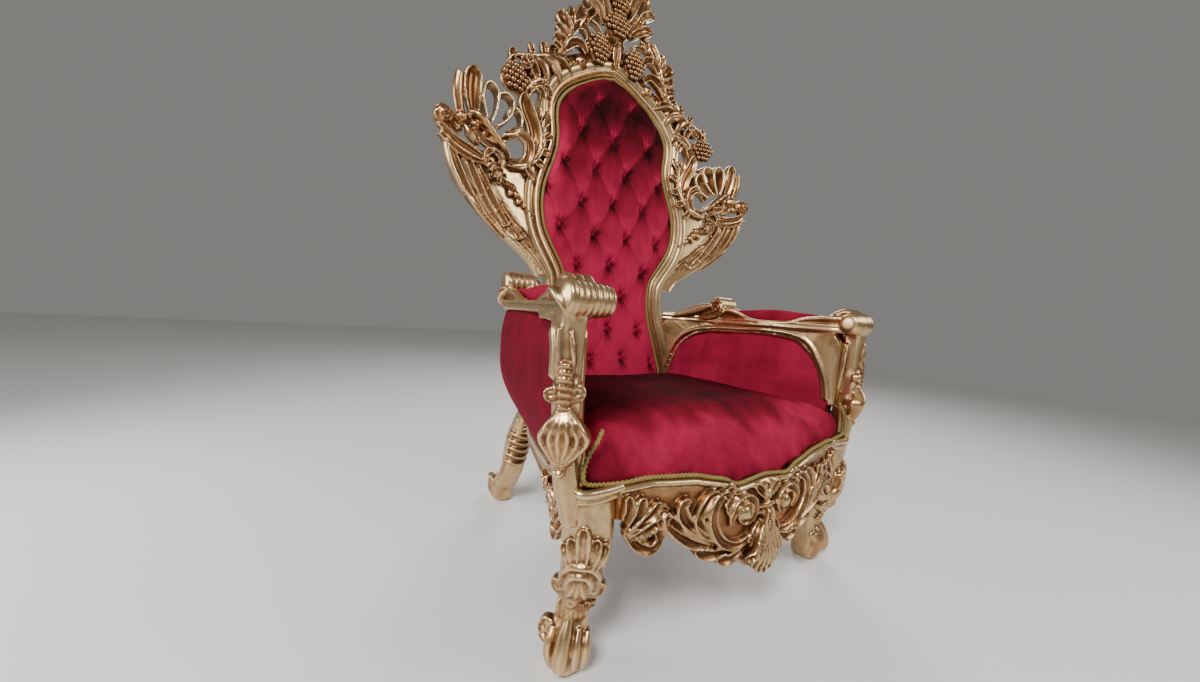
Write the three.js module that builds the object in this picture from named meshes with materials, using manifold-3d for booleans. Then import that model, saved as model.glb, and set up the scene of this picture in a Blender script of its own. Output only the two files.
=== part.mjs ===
// A carved and gilded throne with buttoned upholstery.
// Millimetres, +Z up, facing -Y, standing on Z = 0 with X = 0 as its mirror plane.
import * as THREE from "three";
import { mergeVertices } from "three/addons/utils/BufferGeometryUtils.js";
import Module from "manifold-3d";

const wasm = await Module();
wasm.setup();

// Driving dimensions
const overall = { height: 1950 };
const back = {
  middleY: 299, // face of the back at the middle, 1.1 m up
  lean: 0.062, // how far it goes back for each millimetre up
  wrap: 265, // how strongly the wings come forward
  wrapPower: 1.6,
  top: 1538, // top of the upholstered panel
  bottom: 436,
};
const seat = { railFront: -455, cornerSetback: 55, cornerX: 400, crown: 492 };
const arm = { postX: 470, postY: -384, railZ: 712, rollRadius: 33, rollLength: 92, rollRibs: 5 };
const join = { wingTop: 1325, legTop: 372 };
const gap = 1; // clear space between pieces that touch
const hair = 0.05; // how far skins that touch are moved apart

const vec = (x, y, z) => new THREE.Vector3(x, y, z);
const forward = vec(0, -1, 0);
const mix = THREE.MathUtils.lerp;

// Face of the back at a place seen from the front
function backY(x, z) {
  const reach = Math.pow(Math.abs(x) / 1000, back.wrapPower);
  return back.middleY + back.lean * (z - 1100) - back.wrap * reach;
}
const onBack = (x, z, out = 0) => vec(x, backY(x, z) - out, z);

// Face of the bowed front rail
const railY = (x) => seat.railFront + seat.cornerSetback * Math.pow(Math.abs(x) / seat.cornerX, 2);
const onRail = (x, z, out = 0) => vec(x, railY(x) - out, z);

// A number read from a table of [place, value] pairs, with straight runs between them
function table(pairs, at) {
  if (at <= pairs[0][0]) return pairs[0][1];
  for (let i = 1; i < pairs.length; i++) {
    const [a, b] = [pairs[i - 1], pairs[i]];
    if (at <= b[0]) return mix(a[1], b[1], (at - a[0]) / (b[0] - a[0]));
  }
  return pairs[pairs.length - 1][1];
}

// Triangles that close a ring of points, wound the way the ring runs
function cap(ring) {
  const normal = vec(0, 0, 0);
  ring.forEach((p, i) => normal.add(p.clone().cross(ring[(i + 1) % ring.length])));
  const [x, y, z] = normal.toArray().map(Math.abs);
  const flat = ring.map((p) => {
    if (x >= y && x >= z) return new THREE.Vector2(p.y, p.z);
    return y >= z ? new THREE.Vector2(p.z, p.x) : new THREE.Vector2(p.x, p.y);
  });
  const turns = Math.sign(THREE.ShapeUtils.area(flat));
  return THREE.ShapeUtils.triangulateShape(flat, []).map(([a, b, c]) => {
    const same = Math.sign(THREE.ShapeUtils.area([flat[a], flat[b], flat[c]])) === turns;
    return same ? [a, b, c] : [a, c, b];
  });
}

// A closed skin through rings that have the same number of points
function loft(rings, endless = false) {
  const across = rings[0].length;
  const points = rings.flat();
  const faces = [];
  const runs = endless ? rings.length : rings.length - 1;
  for (let i = 0; i < runs; i++) {
    const here = i * across;
    const next = ((i + 1) % rings.length) * across;
    for (let j = 0; j < across; j++) {
      const k = (j + 1) % across;
      faces.push(here + j, here + k, next + k, here + j, next + k, next + j);
    }
  }
  if (!endless) {
    const last = (rings.length - 1) * across;
    for (const [a, b, c] of cap(rings[0])) faces.push(a, c, b);
    for (const [a, b, c] of cap(rings[rings.length - 1])) faces.push(last + a, last + b, last + c);
  }
  const geometry = new THREE.BufferGeometry().setFromPoints(points);
  geometry.setIndex(faces);
  return solid(geometry);
}

// The geometry as a manifold solid, turned right side out
function solid(geometry) {
  const bare = geometry.clone();
  bare.deleteAttribute("normal");
  bare.deleteAttribute("uv");
  const merged = mergeVertices(bare, 1e-3);
  const make = (triVerts) =>
    new wasm.Manifold(
      new wasm.Mesh({ numProp: 3, vertProperties: merged.attributes.position.array, triVerts }),
    );
  const faces = new Uint32Array(merged.index.array);
  const made = make(faces);
  if (made.volume() >= 0) return made;
  for (let i = 0; i < faces.length; i += 3) [faces[i + 1], faces[i + 2]] = [faces[i + 2], faces[i + 1]];
  return make(faces);
}

// True if every edge still has just two faces once vertices in one place are merged
function sound(shape) {
  const faces = mergeVertices(geometryOf(shape, false), 1e-3).index.array;
  const edges = new Map();
  for (let i = 0; i < faces.length; i += 3) {
    for (let j = 0; j < 3; j++) {
      const [a, b] = [faces[i + j], faces[i + ((j + 1) % 3)]];
      const key = Math.min(a, b) * 1e6 + Math.max(a, b);
      edges.set(key, (edges.get(key) ?? 0) + 1);
    }
  }
  return [...edges.values()].every((count) => count === 2);
}
// The shape with corners that share one place moved a hair into the solid, so that its skins part
function parted(shape) {
  const mesh = shape.getMesh();
  const geometry = geometryOf(shape);
  const { position, normal } = geometry.attributes;
  const places = new Map();
  for (let i = 0; i < position.count; i++) {
    const key = [position.getX(i), position.getY(i), position.getZ(i)].map((v) => Math.round(v * 500)).join();
    places.set(key, [...(places.get(key) ?? []), i]);
  }
  const vertProperties = mesh.vertProperties.slice();
  for (const group of places.values()) {
    if (group.length < 2) continue;
    for (const i of group) {
      const inward = vec(normal.getX(i), normal.getY(i), normal.getZ(i)).multiplyScalar(-hair);
      inward.toArray().forEach((shift, k) => (vertProperties[3 * i + k] += shift));
    }
  }
  return new wasm.Manifold(new wasm.Mesh({ numProp: 3, vertProperties, triVerts: mesh.triVerts }));
}
// The shape with as few faces as a tolerance in millimetres allows
function thinned(shape, tolerance) {
  const whole = wholeBody(shape).asOriginal();
  for (let share = 1; share > 0; share -= 0.05) {
    const fewer = parted(wholeBody(whole.simplify(tolerance * share)));
    if (sound(fewer) && fewer.volume() > 0.98 * whole.volume()) return fewer;
  }
  return whole;
}
const unite = (parts, tolerance = 2) => thinned(wasm.Manifold.union(parts), tolerance);
const thin = (shape) => thinned(shape, 0.8);

// Keeps the biggest body, so that a sliver left by a cut never counts
function wholeBody(shape) {
  return shape.decompose().sort((a, b) => b.volume() - a.volume())[0];
}

function geometryOf(shape, shaded = true) {
  const mesh = shape.getMesh();
  const geometry = new THREE.BufferGeometry();
  geometry.setAttribute("position", new THREE.BufferAttribute(mesh.vertProperties.slice(), 3));
  geometry.setIndex(new THREE.BufferAttribute(mesh.triVerts.slice(), 1));
  if (shaded) geometry.computeVertexNormals();
  return geometry;
}

// A carved leaf, rib or scroll: a ridge that runs along a path and narrows to its ends
function ridge(path, { wide, high, sink = 10, lift = forward, stations = 5, tip = 0.3, swell = 0.5 }) {
  const curve = new THREE.CatmullRomCurve3(path, false, "centripetal");
  const rings = [];
  for (let i = 0; i <= stations; i++) {
    const t = i / stations;
    const at = curve.getPointAt(t);
    const along = curve.getTangentAt(t);
    const up = typeof lift === "function" ? lift(at) : lift;
    const side = along.clone().cross(up).normalize();
    const raise = side.clone().cross(along).normalize();
    const peak = t < swell ? t / swell : (1 - t) / (1 - swell);
    const size = tip + (1 - tip) * Math.sin((Math.PI / 2) * peak);
    const place = (across, rise) => at.clone().addScaledVector(side, across * size).addScaledVector(raise, rise);
    rings.push([place(-wide, 0), place(0, high * size), place(wide, 0), place(0, -sink)]);
  }
  return loft(rings);
}

// A round lump, such as a grape, a berry or the heart of a rose
function lump(centre, radius, [sx, sy, sz] = [1, 1, 1]) {
  const geometry = new THREE.IcosahedronGeometry(radius, 0);
  geometry.scale(sx, sy, sz);
  geometry.translate(centre.x, centre.y, centre.z);
  return solid(geometry);
}

// A hanging grape cluster: rows of grapes on a rounded core, narrower at the foot
function grapes(x, z, halfWide, halfTall, rows, out = 26) {
  const parts = [lump(onBack(x, z, out - 12), 1, [halfWide, 20, halfTall])];
  rows.forEach((count, row) => {
    const v = rows.length > 1 ? row / (rows.length - 1) : 0.5;
    const spread = halfWide * 0.72 * Math.sqrt(1 - Math.pow(v * 1.5 - 0.65, 2) * 0.9);
    for (let i = 0; i < count; i++) {
      const u = count > 1 ? (i / (count - 1)) * 2 - 1 : 0;
      const spot = onBack(x + u * spread, z + halfTall * 0.8 * (1 - 2 * v), out + 8 * (1 - u * u));
      parts.push(lump(spot, halfWide * 0.36));
    }
  });
  return wasm.Manifold.union(parts);
}

// A spiral volute on a face
function volute(place, radius, turns, start, hand, { wide = 9, high = 16, sink = 8, lift = forward } = {}) {
  const steps = Math.round(turns * 9);
  const path = [];
  for (let i = 0; i <= steps; i++) {
    const t = i / steps;
    const angle = start + hand * t * turns * 2 * Math.PI;
    const r = radius * (1 - 0.78 * t);
    path.push(place(r * Math.cos(angle), r * Math.sin(angle)));
  }
  const spiral = ridge(path, { wide, high, sink, lift, stations: steps, tip: 0.55, swell: 0.3 });
  return wasm.Manifold.union([spiral, lump(place(0, 0), radius * 0.34)]);
}

// A tube of even thickness round a closed or open path, for piping, loops and cords
function tube(path, radius, { sides = 5, stations = 24, endless = false, flat = 1 } = {}) {
  const curve = new THREE.CatmullRomCurve3(path, endless, "centripetal");
  const rings = [];
  const count = endless ? stations : stations + 1;
  for (let i = 0; i < count; i++) {
    const at = curve.getPointAt(i / stations);
    const along = curve.getTangentAt(i / stations);
    const side = along.clone().cross(forward).normalize();
    const out = side.clone().cross(along).normalize();
    const ring = [];
    for (let j = 0; j < sides; j++) {
      const angle = (j / sides) * 2 * Math.PI + Math.PI / sides;
      const spot = at.clone().addScaledVector(side, radius * Math.cos(angle));
      ring.push(spot.addScaledVector(out, radius * flat * Math.sin(angle)));
    }
    rings.push(ring);
  }
  return loft(rings, endless);
}

// Outline of the upholstered back, right half from the top down: [half width, height]
const panelHalf = [
  [0, 1538], [52, 1520], [105, 1490], [165, 1448], [207, 1406], [231, 1360], [234, 1315], [229, 1272],
  [231, 1230], [243, 1185], [258, 1145], [273, 1100], [280, 1052], [279, 1005], [268, 958], [247, 916],
  [219, 874], [192, 828], [184, 780], [185, 724], [196, 664], [215, 606], [232, 548], [247, 500],
];
const panelCurve = new THREE.SplineCurve(panelHalf.map(([x, z]) => new THREE.Vector2(x, z)));
const panelWidthAt = (z) => table(panelHalf.map(([x, h]) => [h, x]).reverse(), z);

// Places round the panel, with the direction that leads away from it
function panelLoop() {
  const half = [];
  const steps = 20;
  for (let i = 0; i <= steps; i++) half.push(panelCurve.getPointAt(i / steps));
  const right = [...half, new THREE.Vector2(252, back.bottom), new THREE.Vector2(120, back.bottom)];
  const left = right.slice(1).map((p) => new THREE.Vector2(-p.x, p.y)).reverse();
  const loop = [...right, ...left];
  return loop.map((p, i) => {
    const before = loop[(i + loop.length - 1) % loop.length];
    const after = loop[(i + 1) % loop.length];
    const away = new THREE.Vector2(-(after.y - before.y), after.x - before.x).normalize();
    if (away.dot(new THREE.Vector2(p.x, p.y - 1000)) < 0) away.negate();
    const spread = p.x * p.x > 240 * 240 && p.y <= back.bottom ? 1.3 : 1;
    return (out, rise) => onBack(p.x + away.x * out * spread, p.y + away.y * out * spread, rise);
  });
}

// Back frame: a moulding swept round the panel, closed by a bar behind the seat
function backFrame() {
  const moulding = [[1, -26], [1, 5], [11, 15], [31, 21], [50, 5], [50, -30]];
  return loft(panelLoop().map((place) => moulding.map(([out, rise]) => place(out, rise))), true);
}

// Cuts a piece back from the outer side of the frame, so that they meet with a thin gap
function besideFrame(shape) {
  const wall = [[12, -90], [12, 90], [50 + gap, 90], [50 + gap, -90]];
  const cutter = loft(panelLoop().map((place) => wall.map(([out, rise]) => place(out, rise))), true);
  return thin(shape.subtract(cutter));
}

// Wing: a reeded horn that opens upwards from the waist of the frame
const horn = [
  // outer edge x, z, then inner edge x, z
  [284, 798, 238, 806], [322, 846, 256, 862], [388, 898, 292, 910], [447, 936, 322, 956],
  [500, 978, 334, 1005], [543, 1016, 338, 1050], [568, 1060, 336, 1092], [584, 1118, 340, 1120],
];
function wing() {
  const reeds = 4;
  const across = 2 * reeds + 3;
  const body = horn.map(([ox, oz, ix, iz], row) => {
    const deep = mix(13, 20, row / (horn.length - 1));
    const front = [];
    for (let j = 0; j <= across; j++) {
      const u = j / across;
      const reeded = j < 2 * reeds;
      const rise = reeded ? (j % 2 ? 1 : 0.35) * deep : deep * 0.3;
      front.push(onBack(mix(ox, ix, u), mix(oz, iz, u), j === 0 ? -4 : rise));
    }
    front.push(onBack(ix, iz, -24), onBack(mix(ox, ix, 0.5), mix(oz, iz, 0.5), -24), onBack(ox, oz, -22));
    return front;
  });
  const parts = [loft(body)];
  // flame-like tips where the reeds end against the smooth field
  const tips = [[470, 1060, 400, 985], [430, 1010, 352, 948], [390, 968, 318, 905]];
  for (const [x0, z0, x1, z1] of tips) {
    const path = [onBack(x0, z0, 8), onBack(mix(x0, x1, 0.5) - 6, mix(z0, z1, 0.5) - 8, 12), onBack(x1, z1, 8)];
    parts.push(ridge(path, { wide: 13, high: 14, stations: 3 }));
  }
  // S-shaped leaf from the shoulder down to the hood
  const leafPath = [[356, 1332], [346, 1290], [328, 1240], [318, 1195], [326, 1152], [356, 1122], [398, 1106]];
  parts.push(ridge(leafPath.map(([x, z]) => onBack(x, z, 2)), {
    wide: 27, high: 26, sink: 22, stations: 6, tip: 0.55 }));
  // leaf buds that lie on the frame
  const buds = [[312, 1250, 276, 1292], [314, 1198, 268, 1240], [322, 1150, 286, 1178], [352, 1104, 318, 1078]];
  for (const [x0, z0, x1, z1] of buds) {
    parts.push(ridge([onBack(x0, z0, 12), onBack(x1, z1, 20)], { wide: 13, high: 14, stations: 3 }));
  }
  // ribbon loops: base x, z, tip x, z, half width
  const loops = [
    [528, 1180, 556, 1284, 17], [506, 1198, 526, 1304, 22], [480, 1200, 470, 1288, 19],
    [458, 1192, 430, 1278, 21], [440, 1172, 386, 1252, 24], [424, 1130, 362, 1184, 30],
  ];
  loops.forEach(([bx, bz, tx, tz, half], i) => {
    const along = new THREE.Vector2(tx - bx, tz - bz);
    const length = along.length();
    along.normalize();
    const path = [];
    for (let k = 0; k < 8; k++) {
      const a = (k / 8) * 2 * Math.PI;
      const reach = (length / 2) * (1 - Math.cos(a));
      const off = half * Math.sin(a) * (0.75 + 0.25 * (reach / length));
      const rise = 8 + 12 * (reach / length) + (i % 2) * 4;
      path.push(onBack(bx + along.x * reach - along.y * off, bz + along.y * reach + along.x * off, rise));
    }
    parts.push(tube(path, 9, { sides: 3, stations: 8, endless: true, flat: 1.5 }));
  });
  // flowers and buds: x, z, radius, petals
  parts.push(ridge([[592, 1168], [560, 1140], [510, 1150], [462, 1162], [424, 1140]].map(([x, z]) =>
    onBack(x, z, 4)), { wide: 28, high: 16, sink: 18, stations: 5, tip: 0.6 }));
  const flowers = [[580, 1170, 27, 4], [534, 1184, 21, 3], [484, 1192, 18, 0], [514, 1144, 20, 0],
    [440, 1156, 19, 0]];
  for (const [x, z, radius, petals] of flowers) {
    parts.push(lump(onBack(x, z, 12), radius, [1, 0.9, 1]));
    for (let k = 0; k < petals; k++) {
      const a = (k / petals) * 2 * Math.PI;
      const spot = onBack(x + radius * 0.55 * Math.cos(a), z + radius * 0.75 * Math.sin(a), 22);
      parts.push(lump(spot, radius * 0.5, [1, 0.6, 1]));
    }
  }
  // hood that curls over the hole, its hanging calyx, and the berries
  parts.push(ridge([[474, 1078], [462, 1120], [438, 1134], [420, 1106], [426, 1062]].map(([x, z]) =>
    onBack(x, z, 12)), { wide: 13, high: 15, stations: 6, tip: 0.5 }));
  parts.push(ridge([onBack(424, 1106, 14), onBack(396, 1058, 16)], { wide: 20, high: 18, stations: 3 }));
  const berries = [[402, 1050, 13], [378, 1046, 13], [388, 1028, 12], [362, 1022, 11], [338, 1004, 9]];
  for (const [x, z, radius] of berries) parts.push(lump(onBack(x, z, 15), radius, [1, 1.1, 1]));
  return besideFrame(unite(parts, 9).trimByPlane([0, 0, -1], -join.wingTop));
}

// Crest: vine leaves, stems and grape clusters over the arch of the frame
function crest() {
  const half = [];
  const leaf = (path, wide, high, more = {}) => {
    const { out = 6, ...rest } = more;
    half.push(ridge(path.map(([x, z]) => onBack(x, z, out)), { wide, high, stations: 3, ...rest }));
  };
  // ground that carries the leaves, along the outside of the frame
  leaf([[352, 1340], [318, 1388], [276, 1440], [216, 1492], [140, 1544], [60, 1584], [-20, 1600]], 34, 14,
    { out: -4, sink: 24, stations: 7, tip: 0.7 });
  // stem and spray next to the shoulder cluster
  leaf([[360, 1334], [350, 1350], [326, 1374], [284, 1392], [262, 1404]], 13, 18, { out: 8 });
  leaf([[424, 1394], [373, 1418], [336, 1440], [286, 1466], [232, 1484], [182, 1480]], 14, 20, { stations: 6 });
  leaf([[340, 1424], [306, 1436], [284, 1402]], 14, 16);
  leaf([[304, 1456], [274, 1442], [256, 1416]], 13, 16);
  leaf([[306, 1456], [300, 1506]], 19, 16, { stations: 2 });
  half.push(lump(onBack(408, 1400, 8), 20));
  leaf([[312, 1400], [350, 1384], [396, 1366]], 26, 20, { sink: 24, tip: 0.7 });
  // vine leaf: stem and three lobes, with the smaller leaf below it
  leaf([[256, 1486], [224, 1520], [204, 1562], [198, 1598], [176, 1632], [138, 1662], [84, 1684]], 12, 22,
    { stations: 6, tip: 0.6 });
  leaf([[200, 1560], [246, 1556]], 24, 14, { stations: 3 });
  leaf([[196, 1585], [256, 1596]], 27, 16, { stations: 3 });
  leaf([[196, 1600], [230, 1640]], 24, 14, { stations: 3 });
  leaf([[236, 1502], [272, 1516]], 22, 14, { stations: 3 });
  leaf([[158, 1646], [172, 1684]], 20, 14, { stations: 3 });
  leaf([[104, 1668], [122, 1690], [142, 1706], [134, 1732], [112, 1726]], 13, 16, { out: 10 });
  leaf([[204, 1548], [170, 1572], [138, 1560], [120, 1528], [134, 1500]], 24, 18, { out: 10 });
  leaf([[186, 1478], [140, 1512], [108, 1540]], 18, 14);
  // rising leaves of the crown
  leaf([[50, 1700], [84, 1760], [98, 1826], [132, 1884]], 34, 22, { out: 10, stations: 5, swell: 0.6 });
  leaf([[24, 1720], [46, 1800], [62, 1870], [66, 1930]], 34, 22, { out: 14, stations: 5, swell: 0.6 });
  leaf([[86, 1740], [118, 1752], [122, 1778], [100, 1784]], 11, 14, { out: 12 });
  half.push(grapes(64, 1590, 42, 56, [2, 3, 1], 30));
  half.push(grapes(394, 1360, 46, 42, [3, 2], 26));
  const middle = [
    grapes(0, 1692, 50, 36, [3, 2], 32),
    grapes(0, 1762, 38, 34, [2, 1], 30),
    ridge([onBack(0, 1560, 4), onBack(0, 1640, 8), onBack(0, 1740, 6)], { wide: 44, high: 18, sink: 26 }),
    ridge([onBack(0, 1730, 10), onBack(0, 1840, 18), onBack(0, overall.height - 1, 12)], {
      wide: 42, high: 24, sink: 18, swell: 0.55 }),
  ];
  const parts = [...half, ...half.map((part) => part.mirror([1, 0, 0])), ...middle];
  return besideFrame(unite(parts, 9).trimByPlane([0, 0, 1], join.wingTop + gap));
}

// Arm frame, drawn at positive X: post, roll, saddle rail and rear curl
const armPlan = [[-384, 462], [-330, 444], [-250, 428], [-160, 414], [-60, 410], [40, 408], [120, 384], [190, 330],
  [252, 266]];
const armX = (y) => table(armPlan, y);
const armRim = [[-392, 0], [-350, 4], [-310, 2], [-262, -4], [-205, -20], [-130, -24], [-70, -14], [-20, 4],
  [40, 16], [100, 4], [160, -6], [205, -14], [250, -16]];
const armHalf = [[-392, 18], [-350, 30], [-310, 34], [-262, 38], [-205, 40], [40, 40], [100, 32], [160, 26],
  [205, 22], [250, 20]];
// Places across the arm at a depth, square to its plan
function acrossArm(y) {
  const turn = (armX(y + 12) - armX(y - 12)) / 24;
  const size = Math.hypot(1, turn);
  return (across, z) => vec(armX(y) + across / size, y - (across * turn) / size, z);
}
function armFrame() {
  const parts = [];
  // ribbed roll across the front, its axis along X
  const { rollRadius: radius, rollLength: length, rollRibs: ribs } = arm;
  const profile = [new THREE.Vector2(0, 0)];
  for (let i = 0; i <= 2 * ribs; i++) {
    const dip = i % 2 ? 0 : 5;
    profile.push(new THREE.Vector2(radius - dip - 5 * Math.pow(i / (2 * ribs), 3), (i / (2 * ribs)) * length));
  }
  profile.push(new THREE.Vector2(0, length));
  const roll = new THREE.LatheGeometry(profile, 7);
  roll.rotateZ(Math.PI / 2);
  roll.translate(arm.postX + 22, arm.postY - 6, arm.railZ + 4);
  parts.push(solid(roll));
  // post: rounded square above, bands and side volutes, then a fluted shell over its foot
  const post = [[690, 0, 26, 26], [650, 0, 22, 22], [585, 2, 21, 22], [560, 2, 25, 24], [530, 0, 24, 26],
    [508, -10, 36, 30], [486, -16, 44, 30], [460, -6, 30, 26], [438, 0, 19, 20], [400, 0, 20, 20],
    [join.legTop + gap, -4, 22, 22]];
  parts.push(loft(post.map(([z, shift, halfX, halfY]) => {
    const ring = [];
    for (let k = 0; k < 6; k++) {
      const a = (k / 6) * 2 * Math.PI;
      const [c, s] = [Math.cos(a), Math.sin(a)];
      ring.push(vec(arm.postX + shift + halfX * 1.08 * c, arm.postY + halfY * 1.08 * s, z));
    }
    return ring;
  })));
  for (let k = -2; k <= 2; k++) {
    const top = vec(arm.postX - 8 + k * 4, arm.postY - 22, 522);
    const low = vec(arm.postX - 14 + k * 15, arm.postY - 26 + 3 * k * k, 478);
    parts.push(ridge([top, low, vec(arm.postX - 5, arm.postY - 18, 442)], { wide: 8, high: 10, stations: 4 }));
  }
  for (const side of [-1, 1]) {
    parts.push(lump(vec(arm.postX + side * 22, arm.postY - 8, 560), 19, [0.6, 0.9, 1.1]));
  }
  for (let k = 0; k < 3; k++) {
    const z = 548 + k * 13;
    parts.push(lump(vec(arm.postX - 2, arm.postY - 22, z), 11, [1, 0.9, 0.55]));
  }
  // rail: lower border, hollow side and a top that dips for the pad
  const rail = armRim.map(([y, top]) => {
    const place = acrossArm(y);
    const half = table(armHalf, y);
    const rim = arm.railZ + 22 + top;
    return [place(-half, rim - 6), place(-half + 9, rim), place(-half + 16, rim - 14), place(half - 16, rim - 14),
      place(half - 9, rim), place(half, rim - 6), place(half - 5, arm.railZ - 4), place(half + 3, arm.railZ - 16),
      place(half - 10, arm.railZ - 24), place(-half + 10, arm.railZ - 24), place(-half - 3, arm.railZ - 16),
      place(-half + 5, arm.railZ - 4)];
  });
  parts.push(loft(rail));
  // curl at the rear hump
  const curl = new THREE.CylinderGeometry(25, 25, 78, 8, 1);
  curl.rotateZ(Math.PI / 2);
  curl.translate(armX(62), 62, arm.railZ + 42);
  parts.push(solid(curl));
  return besideFrame(unite(parts, 4));
}

// Legs: rounded sections stacked from the floor up, [z, x, y, half width, half depth]
const frontLeg = [[0, 410, -335, 30, 32], [10, 410, -336, 40, 42], [45, 412, -339, 47, 47], [82, 408, -341, 43, 42],
  [112, 404, -338, 36, 34], [150, 404, -346, 41, 36], [205, 404, -362, 50, 46], [265, 402, -372, 55, 54],
  [325, 398, -368, 53, 54], [372, 402, -362, 46, 42]];
const rearLeg = [[0, 305, 408, 28, 40], [10, 305, 412, 35, 52], [42, 304, 415, 37, 58], [82, 302, 372, 35, 52],
  [128, 300, 322, 31, 38], [190, 296, 308, 36, 42], [250, 290, 296, 38, 48], [320, 282, 262, 36, 44],
  [372, 274, 236, 34, 36]];
function legBody(stack, corners = 8) {
  return loft(stack.map(([z, x, y, halfX, halfY]) => {
    const ring = [];
    for (let k = 0; k < corners; k++) {
      const a = ((k + 0.5) / corners) * 2 * Math.PI;
      const round = Math.pow(Math.pow(Math.abs(Math.cos(a)), 3) + Math.pow(Math.abs(Math.sin(a)), 3), -1 / 3);
      ring.push(vec(x + halfX * round * Math.cos(a), y + halfY * round * Math.sin(a), z));
    }
    return ring;
  }));
}
const atLeg = (stack, z, column) => table(stack.map((row) => [row[0], row[column]]), z);
function onLeg(stack, z, across, out, side = -1) {
  const y = atLeg(stack, z, 2) + side * (atLeg(stack, z, 4) * (1 - 0.35 * Math.abs(across) ** 3) + out);
  return vec(atLeg(stack, z, 1) + across * atLeg(stack, z, 3), y, z);
}
function frontLegShape() {
  const parts = [legBody(frontLeg)];
  for (let k = -2; k <= 2; k++) {
    const spread = k * 0.36;
    parts.push(ridge([onLeg(frontLeg, 322 - 8 * k * k, spread, -2), onLeg(frontLeg, 268, spread * 0.7, 0),
      onLeg(frontLeg, 232, spread * 0.3, -2)], { wide: 9, high: 9, stations: 3 }));
  }
  const hood = [-0.62, -0.5, 0, 0.5, 0.62].map((a, i) => onLeg(frontLeg, [168, 198, 222, 198, 168][i], a, -2));
  parts.push(ridge(hood, { wide: 10, high: 12, stations: 5, tip: 0.6 }));
  parts.push(ridge([onLeg(frontLeg, 202, 0, -4), onLeg(frontLeg, 138, 0, 0)], { wide: 15, high: 12, stations: 3 }));
  for (const across of [-0.66, 0, 0.66]) {
    parts.push(ridge([onLeg(frontLeg, 92, across, -6), onLeg(frontLeg, 48, across, -3),
      onLeg(frontLeg, 8, across * 0.9, -10)], { wide: 14, high: 11, stations: 4, tip: 0.6 }));
  }
  for (const side of [-1, 1]) {
    parts.push(lump(vec(404 + side * 40, -352, 158), 15, [0.7, 1, 1]));
    parts.push(lump(vec(410 + side * 42, -344, 74), 20, [0.7, 1, 1]));
  }
  return flatFoot(unite(parts, 6), join.legTop);
}
function rearLegShape() {
  const parts = [legBody(rearLeg)];
  for (let k = 0; k < 4; k++) {
    const z = 246 - k * 27;
    const y = atLeg(rearLeg, z, 2) - atLeg(rearLeg, z, 4);
    const x = atLeg(rearLeg, z, 1);
    parts.push(ridge([vec(x - 32, y + 4, z + 4), vec(x, y - 1, z - 6), vec(x + 32, y + 4, z + 4)], {
      wide: 8, high: 10, stations: 3 }));
  }
  for (const side of [-1, 1]) parts.push(lump(vec(304 + side * 30, 420, 46), 30, [0.5, 1, 1]));
  return flatFoot(unite(parts, 6), join.legTop);
}
const flatFoot = (shape, top) => shape.trimByPlane([0, 0, 1], 0).trimByPlane([0, 0, -1], -top);

// Front rail: a bowed apron with its carving, cut clear of the legs
const railTop = [[0, 366], [88, 357], [124, 372], [205, 390], [300, 396], [345, 390], [380, 386], [430, 394]];
const railLow = [[0, 148], [34, 152], [76, 178], [118, 208], [144, 236], [190, 262], [240, 305], [275, 318],
  [308, 312], [332, 290], [352, 312]];
function frontRail() {
  const stops = [0, 34, 88, 130, 190, 240, 290, 332, 352];
  const xs = [...stops.slice(1).map((x) => -x).reverse(), ...stops];
  const parts = [loft(xs.map((x) => {
    const [high, low] = [table(railTop, Math.abs(x)) - 6, table(railLow, Math.abs(x)) + 4];
    const mid = mix(high, low, 0.45);
    return [onRail(x, high, 4), onRail(x, high - 12, 10), onRail(x, high - 22, 0), onRail(x, mid, 4),
      onRail(x, low, 0), onRail(x, low + 4, -22), onRail(x, high, -30)];
  }))];
  const half = [volute((dx, dz) => onRail(72 + dx, 297 + dz, 6 + 0.1 * (dx + 36)), 37, 1.6, -1.2, 1,
    { wide: 9, high: 17 })];
  const scroll = (path, wide, high, more = {}) =>
    half.push(ridge(path.map(([x, z]) => onRail(x, z, 2)), { wide, high, stations: 4, ...more }));
  scroll([[58, 214], [120, 232], [176, 280], [222, 318], [262, 330]], 17, 18, { stations: 5 });
  scroll([[262, 332], [278, 318], [268, 304]], 12, 14, { stations: 3 });
  scroll([[96, 222], [146, 268], [168, 318], [150, 350]], 14, 17, { stations: 5 });
  scroll([[150, 352], [134, 344], [136, 330]], 10, 14, { stations: 3 });
  scroll([[40, 196], [92, 196], [142, 240]], 14, 14, { stations: 4 });
  scroll([[130, 262], [128, 300]], 10, 12, { stations: 3 });
  scroll([[210, 322], [236, 352], [276, 366]], 11, 12, { stations: 4 });
  scroll([[344, 372], [330, 330], [324, 282]], 17, 16, { stations: 4 });
  scroll([[338, 340], [304, 366], [272, 382]], 11, 12, { stations: 4 });
  const shell = [];
  for (let k = -2; k <= 2; k++) {
    const foot = onRail(k * 23, 142 + 7 * k * k, 8);
    shell.push(ridge([onRail(k * 5, 262, 12), onRail(k * 14, 200, 14), foot], { wide: 13, high: 14, stations: 4 }));
  }
  shell.push(ridge([onRail(0, 330, 4), onRail(0, 262, 12)], { wide: 18, high: 14, stations: 3 }));
  const joined = unite([...parts, ...half, ...half.map((part) => part.mirror([1, 0, 0])), ...shell], 8);
  return cutByLegs(joined);
}
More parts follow.
